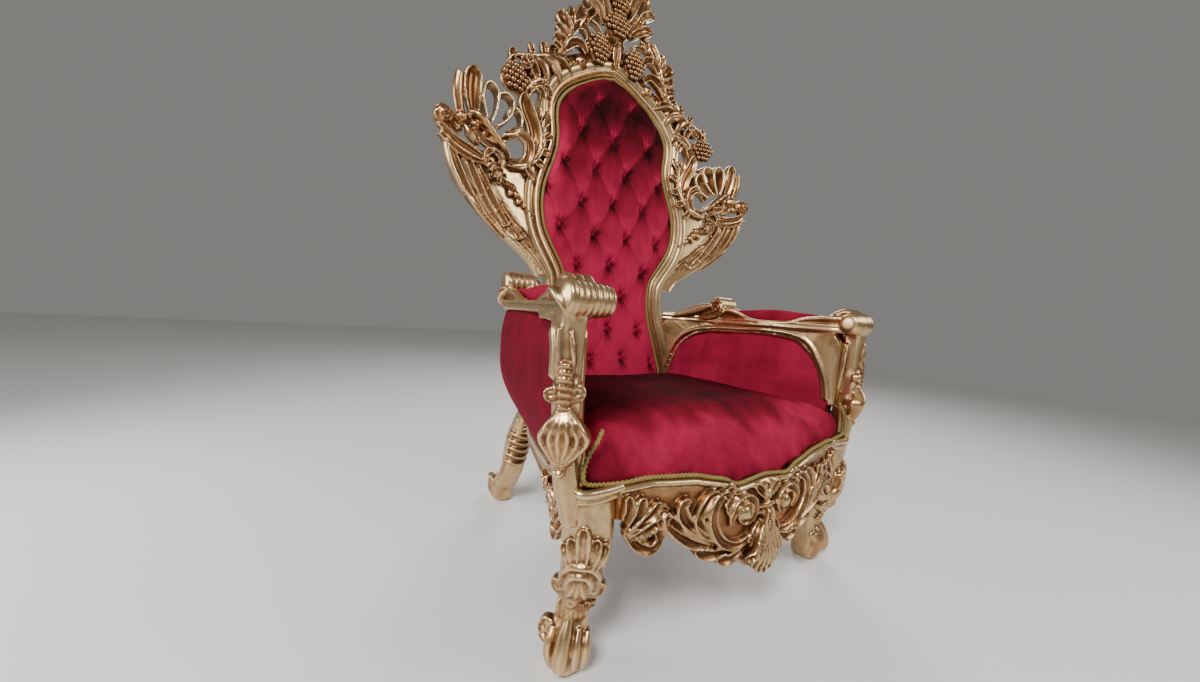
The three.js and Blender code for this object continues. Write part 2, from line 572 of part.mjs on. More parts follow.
function cutByLegs(shape) {
  const legs = [];
  for (const [stack, cx, cy] of [[frontLeg, 402, -350], [rearLeg, 292, 300]]) {
    const wider = stack.map(([z, x, y, halfX, halfY]) => [z === 0 ? -2 : z, x, y, halfX + 5, halfY + 5]);
    const top = wider[wider.length - 1];
    legs.push(legBody([...wider, [join.legTop + 40, ...top.slice(1)]]), lump(vec(cx, cy, 60), 1));
  }
  const pair = wasm.Manifold.union(legs);
  return thin(shape.subtract(pair).subtract(pair.mirror([1, 0, 0])));
}

// Side rail, drawn at positive X
const sidePlan = [[-320, 426], [-240, 414], [-120, 396], [0, 370], [120, 330], [215, 286]];
function sideRail() {
  const rail = loft(sidePlan.map(([y, x], i) => {
    const low = [262, 306, 322, 326, 322, 312][i];
    return [vec(x - 26, y, 370), vec(x + 4, y, 370), vec(x + 8, y, 356), vec(x, y, 344), vec(x + 4, y, low),
      vec(x - 22, y, low + 4)];
  }));
  const face = (y, z, out) => vec(table(sidePlan, y) + out, y, z);
  const aside = vec(1, 0.2, 0).normalize();
  const leaves = [
    ridge([face(-300, 352, 2), face(-282, 312, 4), face(-292, 268, 2)], { wide: 15, high: 14, lift: aside }),
    ridge([face(-284, 340, 2), face(-240, 336, 4), face(-208, 356, 2)], { wide: 12, high: 12, lift: aside }),
    ridge([face(-286, 310, 2), face(-248, 300, 3), face(-226, 312, 2)], { wide: 11, high: 11, lift: aside }),
  ];
  return cutByLegs(unite([rail, ...leaves], 2));
}
function backRail() {
  const shape = new THREE.BoxGeometry(520, 26, 70);
  shape.translate(0, 244, 335);
  return cutByLegs(solid(shape));
}

// Gimp cords: one round the back panel, one along the front edge of the seat
function backGimp() {
  const section = [[-12.5, 8], [-7.5, 16], [-2.5, 8]];
  const open = panelLoop();
  const start = open.length / 2 + 1;
  const run = [...open.slice(Math.ceil(start) + 1), ...open.slice(0, Math.floor(start) - 1)];
  return loft(run.map((place) => section.map(([out, rise]) => place(out, rise))));
}
function seatGimp() {
  const corner = [[428, -400, 399], [437, -404, 416], [435, -403, 434], [426, -402, 453], [411, -401, 472],
    [400, -397, 490]];
  const run = [];
  for (const x of [0, 44, 88, 124, 160, 205, 260, 310, 352, 390]) {
    run.push([x, railY(x) + 2, table(railTop, x) + 5.5]);
  }
  const right = [...run, ...corner].map(([x, y, z]) => vec(x, y, z));
  const left = right.slice(1).map((p) => vec(-p.x, p.y, p.z)).reverse();
  return tube([...left, ...right], 4.5, { sides: 3, stations: 34 });
}

// Upholstery: plain crowned forms
function seatCushion() {
  const stops = [[0, 186], [110, 186], [200, 186], [258, 184], [290, 138], [316, 80], [336, 0], [354, -120],
    [370, -220], [388, -300], [412, -352], [424, -364]];
  const xs = [...stops.slice(1).map(([x, y]) => [-x, y]).reverse(), ...stops];
  return loft(xs.map(([x, rear]) => {
    const a = Math.abs(x);
    const front = railY(x) + 10;
    const low = Math.max(table(railTop, a) + 2, join.legTop + 2);
    const crown = a > 410 ? 438 : seat.crown - 34 * Math.pow(a / 400, 4);
    const long = rear - front;
    const at = (t, rise) => vec(x, front + long * t, low + (crown - low) * rise);
    const bed = Math.max(join.legTop + 2, table(railTop, a) - 4);
    return [at(0, 0), vec(x, front - 5, mix(low, crown, 0.4)), at(0.03, 0.72), at(0.12, 0.93), at(0.35, 1),
      at(0.7, 0.99), at(0.95, 0.93), at(1, 0.75), vec(x, rear, bed),
      vec(x, Math.min(front + 24, rear - 6), bed)];
  }));
}
// Half width of a pad inside the panel: clear of the cord, which leans over near the top
const padHalf = (z, inset) => panelWidthAt(Math.max(z, 500)) - inset - Math.max(0, z - 1400) * 0.2;
function backPad() {
  const tuft = { wide: 133, tall: 224, first: 1313 };
  const rows = 15;
  const columns = 8;
  const rings = [];
  for (let i = 0; i <= rows; i++) {
    const z = mix(back.bottom + 3, 1514, i / rows);
    const half = padHalf(z, 20);
    const ring = [];
    for (let j = 0; j <= columns; j++) {
      const u = (j / columns) * 2 - 1;
      const x = half * u;
      const [p, q] = [x / tuft.wide, (z - tuft.first) / tuft.tall];
      const diamond = Math.abs(Math.cos(Math.PI * (p + q)) * Math.cos(Math.PI * (p - q)));
      const edge = Math.min(1, (1 - u * u) * 2.6) * Math.min(1, (1524 - z) / 120);
      ring.push(onBack(x, z, 5 + edge * (19 + 13 * (1 - diamond))));
    }
    for (const u of [1, 0.5, 0, -0.5, -1]) ring.push(onBack(half * u, z, -12));
    rings.push(ring);
  }
  return loft(rings);
}
function outsideBack() {
  const rings = [];
  const rows = 11;
  for (let i = 0; i <= rows; i++) {
    const z = mix(back.bottom + 3, 1522, i / rows);
    const half = padHalf(z, 8);
    const ring = [];
    for (const u of [-1, -0.5, 0, 0.5, 1]) ring.push(onBack(half * u, z, -17));
    for (const u of [1, 0, -1]) ring.push(onBack(half * u, z, -24));
    rings.push(ring);
  }
  return loft(rings);
}
// Arm panels, drawn at positive X: outside and inside of the same arm.
// The outside has a belly and sweeps in below it, down to the side rail.
const panel = { low: join.legTop + 2, padLow: 452, high: arm.railZ - 26, bellyZ: 566, belly: 44, shell: 14 };
function armPanel(outside) {
  const stops = [-348, -300, -220, -120, -20, 80, 160, 215, 250];
  const rings = stops.map((y, i) => {
    const along = i / (stops.length - 1);
    const full = Math.pow(Math.sin(Math.PI * Math.min(0.97, Math.max(0.03, along))), 0.5);
    const middle = armX(y) + 2;
    const foot = table(sidePlan, y) + 6 - middle;
    const sweep = (z) => Math.min(1, (z - panel.low) / (panel.bellyZ - panel.low));
    const skin = (z) => mix(foot, panel.belly * full, Math.sin((Math.PI / 2) * sweep(z)));
    const core = (z) => Math.min(skin(z) - 5, mix(foot - panel.shell, 1, Math.pow(sweep(z), 1.3)));
    const at = (out, z) => vec(middle + out, y, z);
    if (outside) {
      const top = Math.max(24, panel.belly * full - 12);
      const heights = [panel.low, 405, 440, 480, 520, panel.bellyZ, 640];
      const inner = [panel.bellyZ, 480, 420].map((z) => at(core(z), z));
      return [...heights.map((z) => at(skin(z), z)), at(top, panel.high), at(gap, panel.high), ...inner,
        at(foot - panel.shell, panel.low)];
    }
    const face = [[0, 24], [0.3, 30], [0.6, 33], [0.9, 30 * full], [1, 24]].map(([v, out]) => {
      const z = mix(panel.padLow, panel.high, v);
      return at(Math.min(-Math.max(16, out) + 2, core(z) - 2 * gap - 12), z);
    });
    const rear = [panel.high, panel.bellyZ, 500, panel.padLow].map((z) => at(core(z) - 2 * gap, z));
    return [...face, ...rear];
  });
  return loft(rings);
}
function outerArmPanel() {
  return besideFrame(armPanel(true));
}
function innerArmPad() {
  return besideFrame(armPanel(false));
}
function armTopPad() {
  const stops = [-296, -270, -220, -160, -100, -50, -8, 18];
  return loft(stops.map((y, i) => {
    const place = acrossArm(y);
    const low = arm.railZ + 22 + table(armRim, y) - 11;
    const end = Math.pow(Math.sin(Math.PI * mix(0.06, 0.94, i / (stops.length - 1))), 0.45);
    const high = mix(low + 6, arm.railZ + 38, end);
    const section = [[-17, 0], [-17, 0.6], [-10, 0.93], [0, 1], [10, 0.93], [17, 0.6], [17, 0]];
    return section.map(([across, rise]) => place(across, mix(low, high, rise)));
  }));
}

// Colours and finishes
const finish = {
  gilding: new THREE.MeshStandardMaterial({ color: 0xb9985c, roughness: 0.35, metalness: 0.85 }),
  velvet: new THREE.MeshStandardMaterial({ color: 0x8c1733, roughness: 0.7, metalness: 0 }),
  gimp: new THREE.MeshStandardMaterial({ color: 0x8d7b3c, roughness: 0.6, metalness: 0.2 }),
};

const throne = new THREE.Group();
function add(name, shape, material) {
  const mesh = new THREE.Mesh(geometryOf(shape), finish[material].clone());
  mesh.name = name;
  throne.add(mesh);
}
function addPair(name, shape, material) {
  add(`${name}_right`, shape, material);
  add(`${name}_left`, shape.mirror([1, 0, 0]), material);
}

add("back_frame", backFrame(), "gilding");
add("crest", crest(), "gilding");
addPair("wing", wing(), "gilding");
addPair("arm_frame", armFrame(), "gilding");
add("front_rail", frontRail(), "gilding");
addPair("side_rail", sideRail(), "gilding");
add("back_rail", backRail(), "gilding");
addPair("front_leg", frontLegShape(), "gilding");
addPair("rear_leg", rearLegShape(), "gilding");
add("seat_cushion", seatCushion(), "velvet");
add("back_pad", backPad(), "velvet");
add("outside_back", outsideBack(), "velvet");
addPair("inner_arm_pad", innerArmPad(), "velvet");
addPair("outer_arm_panel", outerArmPanel(), "velvet");
addPair("arm_top_pad", armTopPad(), "velvet");
add("back_gimp", backGimp(), "gimp");
add("seat_gimp", seatGimp(), "gimp");

export default throne;
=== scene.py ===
import math

import bpy
import numpy as np
from mathutils import Matrix, Vector
from mathutils.kdtree import KDTree


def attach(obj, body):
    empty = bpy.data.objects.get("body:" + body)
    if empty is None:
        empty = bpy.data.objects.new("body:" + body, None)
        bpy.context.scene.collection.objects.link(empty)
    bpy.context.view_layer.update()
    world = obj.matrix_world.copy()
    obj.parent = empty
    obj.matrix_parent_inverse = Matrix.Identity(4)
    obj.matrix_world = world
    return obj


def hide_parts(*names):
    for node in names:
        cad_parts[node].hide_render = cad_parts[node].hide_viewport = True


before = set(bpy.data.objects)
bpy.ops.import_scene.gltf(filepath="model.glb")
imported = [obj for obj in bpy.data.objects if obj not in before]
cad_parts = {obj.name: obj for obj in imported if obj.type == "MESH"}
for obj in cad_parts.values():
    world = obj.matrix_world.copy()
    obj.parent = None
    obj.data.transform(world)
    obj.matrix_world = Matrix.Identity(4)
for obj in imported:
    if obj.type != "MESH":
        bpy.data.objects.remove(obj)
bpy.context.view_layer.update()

bpy.ops.object.select_all(action="DESELECT")
mm = 0.001

# The face of the back leans away and its sides come forward
back = {"middleY": 299, "lean": 0.062, "wrap": 265, "wrapPower": 1.6, "bottom": 436}
rail = {"front": -455, "setback": 55, "cornerX": 400}
arm = {"postX": 470, "postY": -384, "railZ": 712}
# Cells that melt the bodies of a carving together, share of the faces kept, and how far the relief is read
detail = {"voxel": 2.8, "keep": 0.5, "soften": 2, "rounds": 10, "reach": 4.0}


def backY(x, z):
    return back["middleY"] + back["lean"] * (z - 1100) - back["wrap"] * (abs(x) / 1000) ** back["wrapPower"]


def onBack(x, z, out=0):
    return (x, backY(x, z) - out, z)


def railY(x):
    return rail["front"] + rail["setback"] * (abs(x) / rail["cornerX"]) ** 2


def onRail(x, z, out=0):
    return (x, railY(x) - out, z)


def table(pairs, at):
    return float(np.interp(at, [p[0] for p in pairs], [p[1] for p in pairs]))


def mix(a, b, t):
    return a + (b - a) * t


# Curve through the points in even steps
def smoothPath(points, count, closed=False):
    pts = np.array(points, float)
    if closed:
        pts = np.vstack([pts[-1], pts, pts[0], pts[1]])
    else:
        pts = np.vstack([pts[0] * 2 - pts[1], pts, pts[-1] * 2 - pts[-2]])
    fine = []
    steps = 14
    for p0, p1, p2, p3 in zip(pts, pts[1:], pts[2:], pts[3:]):
        for k in range(steps):
            t = k / steps
            fine.append(0.5 * (2 * p1 + (p2 - p0) * t + (2 * p0 - 5 * p1 + 4 * p2 - p3) * t * t
                               + (3 * p1 - p0 - 3 * p2 + p3) * t ** 3))
    fine.append(pts[-2])
    fine = np.array(fine)
    gone = np.concatenate([[0], np.cumsum(np.linalg.norm(np.diff(fine, axis=0), axis=1))])
    want = np.linspace(0, gone[-1], count + 1)
    line = np.stack([np.interp(want, gone, fine[:, k]) for k in range(fine.shape[1])], axis=1)
    return line[:-1] if closed else line


def unit(v):
    return v / max(1e-9, np.linalg.norm(v))


def lengthOf(path):
    return float(np.sum(np.linalg.norm(np.diff(path, axis=0), axis=1)))


# Cosine and sine of even steps round a circle
def circle(count, offset=0):
    angles = [math.tau * (k + offset) / count for k in range(count)]
    return [(math.cos(a), math.sin(a)) for a in angles]


# Points put on a face by its own function, which stand off it by one number or by one number each
def placed(place, path, out=None):
    if out is None:
        return [place(*p) for p in path]
    outs = out if isinstance(out, tuple) else (out,) * len(path)
    return [place(*p, o) for p, o in zip(path, outs)]


def backRun(path, out=None):
    return placed(onBack, path, out)


# Share gone, place, direction across and direction out of the face, in steps along a path
def alongPath(path, step, least, lift):
    pts = np.array(path, float)
    count = max(least, int(lengthOf(pts) / step))
    line = smoothPath(pts, count)
    for i, at in enumerate(line):
        ahead = unit(line[min(i + 1, count)] - line[max(i - 1, 0)])
        side = unit(np.cross(ahead, np.array(lift, float)))
        yield i / count, at, side, unit(np.cross(side, ahead))


# Half sections from edge to edge: across, and out of the face
profiles = {"leaf": [(-1, 0), (-0.95, 0.42), (-0.74, 0.66), (-0.42, 0.48), (-0.16, 0.8), (0, 1),
                     (0.16, 0.8), (0.42, 0.48), (0.74, 0.66), (0.95, 0.42), (1, 0)],
            "reed": [(-1, 0), (-0.86, 0.52), (-0.5, 0.87), (0, 1), (0.5, 0.87), (0.86, 0.52), (1, 0)],
            "scroll": [(-1, 0), (-0.97, 0.7), (-0.8, 1), (-0.58, 0.84), (-0.3, 0.52), (0, 0.42),
                       (0.3, 0.52), (0.58, 0.84), (0.8, 1), (0.97, 0.7), (1, 0)],
            "blade": [(-1, 0), (-0.9, 0.3), (-0.45, 0.55), (0, 1), (0.45, 0.55), (0.9, 0.3), (1, 0)],
            "dish": [(-1, 0), (-1, 0.7), (-0.93, 0.95), (-0.8, 1), (-0.66, 0.72), (-0.38, 0.3), (0, 0.16),
                     (0.38, 0.3), (0.66, 0.72), (0.8, 1), (0.93, 0.95), (1, 0.7), (1, 0)]}


# Rims and crowns are painted pale, partly rubbed gilding and partly painted highlight; dish floors, sides and
# undersides keep a higher tone, and where it passes 1 it paints shade
def sectionTones(section, tone, contrast):
    hollow = max(v for _, v in section) > 2 * section[len(section) // 2][1]
    shades = []
    for u, v in section:
        rubbed = abs(u) > 0.6 if hollow else abs(u) < 0.45
        shades.append(max(0, tone - 0.35) if rubbed and v > 0.3 else tone + contrast)
    return shades + [tone + contrast] * 2


# Closed bodies in millimetres that become one carved piece
class Carving:
    def __init__(self):
        self.verts, self.faces, self.tones = [], [], []

    def add(self, verts, faces, tone):
        start = len(self.verts)
        self.verts += [tuple(v) for v in verts]
        self.faces += [tuple(start + i for i in f) for f in faces]
        self.tones += [tone] * len(verts) if isinstance(tone, (int, float)) else list(tone)

    # Skin over a row of rings, capped at both ends unless it is closed
    def loft(self, rings, tone=1.0, closed=False):
        rings = [np.array(r, float) for r in rings]
        n, last = len(rings[0]), len(rings) - 1
        faces = []
        for i in range(last + closed):
            a, b = i * n, ((i + 1) % len(rings)) * n
            for j in range(n):
                k = (j + 1) % n
                faces.append((a + j, a + k, b + k, b + j))
        if not closed:
            faces.append(tuple(range(n - 1, -1, -1)))
            faces.append(tuple(last * n + j for j in range(n)))
        self.add(list(np.vstack(rings)), faces, tone)

    # A moulded rib, widest at the share of its length named swell
    def ridge(self, path, wide, high, sink=10, lift=(0, -1, 0), tip=0.3, swell=0.5, profile="leaf", tone=1.0,
              step=5, contrast=0.4):
        section = profiles[profile]
        rings = []
        for t, at, side, out in alongPath(path, step, 5, lift):
            peak = t / swell if t < swell else (1 - t) / (1 - swell)
            size = tip + (1 - tip) * math.sin(math.pi / 2 * peak)
            ring = [at + side * (wide * size * u) + out * (high * size * v) for u, v in section]
            ring += [at + side * (wide * size * 0.55) - out * sink,
                     at - side * (wide * size * 0.55) - out * sink]
            rings.append(ring)
        self.loft(rings, sectionTones(section, tone, contrast) * len(rings))

    def reed(self, *shape, **more):
        self.ridge(*shape, profile="reed", **more)

    def scroll(self, *shape, **more):
        self.ridge(*shape, profile="scroll", **more)

    # A dished ribbon with a raised rim and a round end
    def petal(self, path, half, high, sink=10, tone=0.9, waist=0.5, bulge=0.55, lift=(0, -1, 0),
              contrast=0.5):
        rings = []
        for t, at, side, out in alongPath(path, 4, 8, lift):
            grow = waist + (1 - waist) * math.sin(math.pi / 2 * min(1, t / bulge))
            end = math.sqrt(max(0.03, 1 - (max(0, t - 0.75) / 0.25) ** 2))
            wide, close = half * grow * end, max(0, (t - 0.84) / 0.16) ** 2
            ring = [at + side * (wide * u) + out * (high * mix(v, 1, close) if v else 0) for u,
                    v in profiles["dish"]]
            ring += [at + side * (wide * 0.6) - out * sink, at - side * (wide * 0.6) - out * sink]
            rings.append(ring)
        self.loft(rings, sectionTones(profiles["dish"], tone, contrast) * len(rings))

    def ball(self, centre, radius, stretch=(1, 1, 1), tone=1.0, rows=7, across=10):
        rings = []
        wide, deep, tall = (radius * s for s in stretch)
        for i in range(1, rows):
            a = math.pi * i / rows
            rings.append([(centre[0] + wide * math.sin(a) * c, centre[1] + deep * math.sin(a) * s,
                           centre[2] - tall * math.cos(a)) for c, s in circle(across)])
        self.loft(rings, tone)

    def tube(self, path, radius, sides=8, stations=40, closed=False, flat=1.0, tone=1.0, taper=None):
        line = smoothPath(path, stations, closed)
        last = len(line) - 1
        rings = []
        for i, at in enumerate(line):
            before = line[i - 1] if closed or i else line[0]
            after = line[(i + 1) % (last + 1)] if closed or i < last else line[-1]
            ahead = unit(after - before)
            side = unit(np.cross(ahead, (0, -1, 0)))
            out = unit(np.cross(side, ahead))
            size = radius * (taper(i / last) if taper else 1)
            rings.append([at + side * (size * c) + out * (size * flat * s) for c, s in circle(sides)])
        self.loft(rings, tone, closed)

    # A band on edge that stands out from the face along a path
    def band(self, path, far, near=-10, thick=9, tone=0.5, stations=34):
        line = smoothPath(path, stations)
        middle = mix(near, far, 0.5)
        section = [(1, near), (1, middle), (1, far - 4), (0.6, far), (-0.6, far), (-1, far - 4),
                   (-1, middle), (-1, near)]
        rings = []
        for i, at in enumerate(line):
            ahead = unit(line[min(i + 1, stations)] - line[max(i - 1, 0)])
            side = np.array([-ahead[1], ahead[0]]) * thick / 2
            rings.append([onBack(*(at + side * u), out) for u, out in section])
        # tones above 1 on the low sides paint shade inside the loops; the top edge is pale
        self.loft(rings, [1.4, 1.2, tone, 0.1, 0.1, tone, 1.2, 1.4] * len(rings))

    # A leaf of dished lobes on both sides of a rib
    def acanthus(self, place, path, wide, lobes, high=15, out=6, lift=(0, -1, 0)):
        fat, last = 0.36, 40
        line = smoothPath(path, last)
        self.ridge(placed(place, line[::8], out - 7), wide * 0.42, high * 0.7, 10, lift, 0.5, 0.4, "reed")
        for i in range(lobes):
            t = 0.10 + 0.74 * (i + 0.25) / lobes
            k = int(t * last)
            size = wide * math.sin(math.pi * (0.28 + 0.55 * t))
            along = unit(line[min(k + 3, last)] - line[max(k - 3, 0)])
            across = np.array([-along[1], along[0]])
            for side in (-1, 1):
                run = [place(*(line[k] + across * side * size * a + along * size * b), out + high * rise)
                       for a, b, rise in ((0.05, 0, 0), (0.52, 0.2, 0.5), (0.95, 0.55, 0.15))]
                self.petal(run, size * fat, high * 0.75, tone=1.0, waist=0.55, lift=lift)
        self.petal([place(*line[k], out + high * rise) for k, rise in ((25, 0.1), (33, 0.5), (last, 0.2))],
                   wide * fat, high * 0.9, tone=1.0, lift=lift)
        self.ridge(placed(place, line[:36:7], out + high * 0.45), wide * 0.14, high * 0.7, 10, lift, 0.5,
                   0.3, "reed")

    # Fruit is packed on a dome; the round berries are kept apart from the carved ground
    def grapes(self, berries, x, z, halfWide, halfTall, out):
        self.ball(onBack(x, z, out - 16), 1, (halfWide * 0.92, 22, halfTall * 0.92), 1.0, 10, 14)
        step = berry["size"] * berry["spacing"]
        rows = int(halfTall / (step * 0.87)) + 1
        for r in range(-rows, rows + 1):
            v = r * step * 0.87 / halfTall
            taper = 1 - 0.25 * max(0, -v)
            for i in range(-7, 8):
                u = (i + (0.5 if r % 2 else 0)) * step / (halfWide * taper)
                if u * u + v * v > 0.98:
                    continue
                dome = 18 * math.sqrt(1 - min(1, u * u + v * v) * 0.96)
                spot = onBack(x + u * halfWide * taper, z + v * halfTall, out + dome - 10)
                size = berry["size"] * (1.06 if (i * 3 + r) % 4 else 0.92)
                berries.ball(spot, size, rows=berry["rows"], across=berry["across"])

    def volute(self, place, radius, turns, start, wide=9, high=16, sink=8, lift=(0, -1, 0), tone=1.0):
        steps = int(turns * 14)
        path = []
        for i in range(steps + 1):
            t = i / steps
            a = start + t * turns * 2 * math.pi
            r = radius * (1 - 0.8 * t)
            path.append(place(r * math.cos(a), r * math.sin(a)))
        self.ridge(path, wide, high, sink, lift, tip=0.5, swell=0.25, profile="scroll", tone=tone, step=3)
        self.ball(place(0, 0), radius * 0.27, tone=tone)

    def mirror(self):
        start = len(self.verts)
        self.verts += [(-x, y, z) for x, y, z in self.verts]
        self.faces += [tuple(start + i for i in reversed(f)) for f in list(self.faces)]
        self.tones += list(self.tones)

    def mesh(self, name):
        data = bpy.data.meshes.new(name)
        data.from_pydata([(x * mm, y * mm, z * mm) for x, y, z in self.verts], [], self.faces)
        data.update()
        piece = bpy.data.objects.new(name, data)
        bpy.context.collection.objects.link(piece)
        return piece


def pick(piece):
    bpy.ops.object.select_all(action="DESELECT")
    piece.select_set(True)
    bpy.context.view_layer.objects.active = piece


def applyModifier(piece, kind, **settings):
    pick(piece)
    step = piece.modifiers.new(kind.title(), kind)
    for key, value in settings.items():
        setattr(step, key, value)
    bpy.ops.object.modifier_apply(modifier=step.name)


def readAll(items, name, width, kind=float):
    values = np.empty(len(items) * width, kind)
    items.foreach_get(name, values)
    return values.reshape(-1, width)


# Ridges and hollows of a mesh as numbers, 0.5 where it is flat
def recess(piece):
    data = piece.data
    places = readAll(data.vertices, "co", 3) / mm
    normals = readAll(data.vertices, "normal", 3)
    a, b = readAll(data.edges, "vertices", 2, int).T
    degree = np.maximum(np.bincount(np.concatenate([a, b]), minlength=len(places)), 1)

    def spread(values):
        total = np.zeros_like(values)
        np.add.at(total, a, values[b])
        np.add.at(total, b, values[a])
        return total / (degree[:, None] if values.ndim == 2 else degree)

    smooth = places.copy()
    for _ in range(detail["rounds"]):
        smooth = spread(smooth) * 0.7 + smooth * 0.3
    height = np.einsum("ij,ij->i", places - smooth, normals)
    height = spread(height) * 0.5 + height * 0.5
    return np.clip(0.5 + height / (2 * detail["reach"]), 0, 1)


def store(piece, name, values):
    layer = piece.data.attributes.new(name, "FLOAT", "POINT")
    layer.data.foreach_set("value", np.array(values, dtype=np.float32))


def treeOf(points):
    tree = KDTree(len(points))
    for i, v in enumerate(points):
        tree.insert(v, i)
    tree.balance()
    return tree


# Shading, finish and the frame's own words for a piece
def dress(piece, material, nodes=(), crease=None):
    pick(piece)
    if crease:
        bpy.ops.object.shade_smooth_by_angle(angle=math.radians(crease))
    else:
        bpy.ops.object.shade_smooth()
    piece.data.materials.append(material)
    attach(piece, "root")
    if nodes:
        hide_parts(*nodes)
    print(piece.name, sum(len(p.vertices) - 2 for p in piece.data.polygons), "triangles")


def carve(name, carving, node):
    piece = carving.mesh(name)
    bodies = treeOf(carving.verts)
    applyModifier(piece, "REMESH", mode="VOXEL", voxel_size=detail["voxel"] * mm, adaptivity=0)
    applyModifier(piece, "SMOOTH", factor=0.5, iterations=detail["soften"])
    # the relief of the shape, from which the gilding paints highlights on ridges and shade in recesses
    reliefShading = recess(piece)
    dense = treeOf([v.co.copy() for v in piece.data.vertices])
    applyModifier(piece, "DECIMATE", ratio=detail["keep"])
    places = [v.co.copy() for v in piece.data.vertices]
    store(piece, "tone", [carving.tones[bodies.find(tuple(c / mm for c in at))[1]] for at in places])
    store(piece, "reliefShading", [reliefShading[dense.find(at)[1]] for at in places])
    dress(piece, gilding, [node])
    return piece


def carvePair(name, carving, node):
    right = carve(name + "Right", carving, node + "_right")
    left = right.copy()
    left.data = right.data.copy()
    left.name = left.data.name = name + "Left"
    bpy.context.collection.objects.link(left)
    left.data.transform(Matrix.Scale(-1, 4, (1, 0, 0)))
    left.data.flip_normals()
    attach(left, "root")
    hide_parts(node + "_left")


def feed(socket, value):
    if isinstance(value, Value):
        value.tree.links.new(value.socket, socket)
    else:
        socket.default_value = value


# A socket that takes part in sums
class Value:
    def __init__(self, tree, socket):
        self.tree, self.socket = tree, socket

    def maths(self, kind, *others, clamp=False):
        node = self.tree.nodes.new("ShaderNodeMath")
        node.operation = kind
        node.use_clamp = clamp
        for socket, item in zip(node.inputs, (self, *others)):
            feed(socket, item)
        return Value(self.tree, node.outputs[0])

    def __add__(self, other):
        return self.maths("ADD", other)

    def __mul__(self, other):
        return self.maths("MULTIPLY", other)

    def __sub__(self, other):
        return self.maths("SUBTRACT", other)

    def __rsub__(self, other):
        return (self * -1) + other

    __radd__ = __add__
    __rmul__ = __mul__

    def held(self):
        return self.maths("ADD", 0.0, clamp=True)


# A material and the nodes that make it
class Finish:
    def __init__(self, name):
        self.material = bpy.data.materials.new(name)
        self.material.use_nodes = True
        self.tree = self.material.node_tree
        self.shader = self.tree.nodes["Principled BSDF"]

    def node(self, kind, inputs, out=0, **settings):
        node = self.tree.nodes.new(kind)
        for key, value in settings.items():
            setattr(node, key, value)
        for key, value in inputs.items():
            feed(node.inputs[key], value)
        return Value(self.tree, node.outputs[out])

    def place(self, scale=(1, 1, 1)):
        return self.node("ShaderNodeMapping", {"Vector": self.node("ShaderNodeTexCoord", {}, 3),
                                               "Scale": scale})

    def noise(self, scale, fine=4, rough=0.55, where=None, distortion=0.0):
        return self.node("ShaderNodeTexNoise", {"Vector": where or self.place(), "Scale": scale,
                                                "Detail": fine, "Roughness": rough,
                                                "Distortion": distortion})

    def attribute(self, name):
        return self.node("ShaderNodeAttribute", {}, 2, attribute_name=name)

    def blend(self, factor, first, second):
        return self.node("ShaderNodeMix", {0: factor, 6: first, 7: second}, 2, data_type="RGBA")

    def bump(self, height, strength, distance):
        return self.node("ShaderNodeBump", {"Height": height, "Strength": strength, "Distance": distance})

    def set(self, **values):
        for key, value in values.items():
            feed(self.shader.inputs[key.replace("_", " ")], value)


def coloursOf(look):
    return {key: (*value, 1.0) for key, value in look.items() if isinstance(value, tuple)}


# Gilding colours: recess is a near-black painted shade for recesses and undersides, and also colours the dark
# grain specks; bright is a painted highlight on ridges, partly rubbed gilding
gildLook = {
    "pale": (0.74, 0.53, 0.285), "paleShade": (0.38, 0.235, 0.105), "copper": (0.36, 0.165, 0.062),
    "bronze": (0.190, 0.080, 0.029), "recess": (0.020, 0.0050, 0.0012), "bright": (0.90, 0.67, 0.39),
    "metal": 0.97, "roughness": 0.22,
}


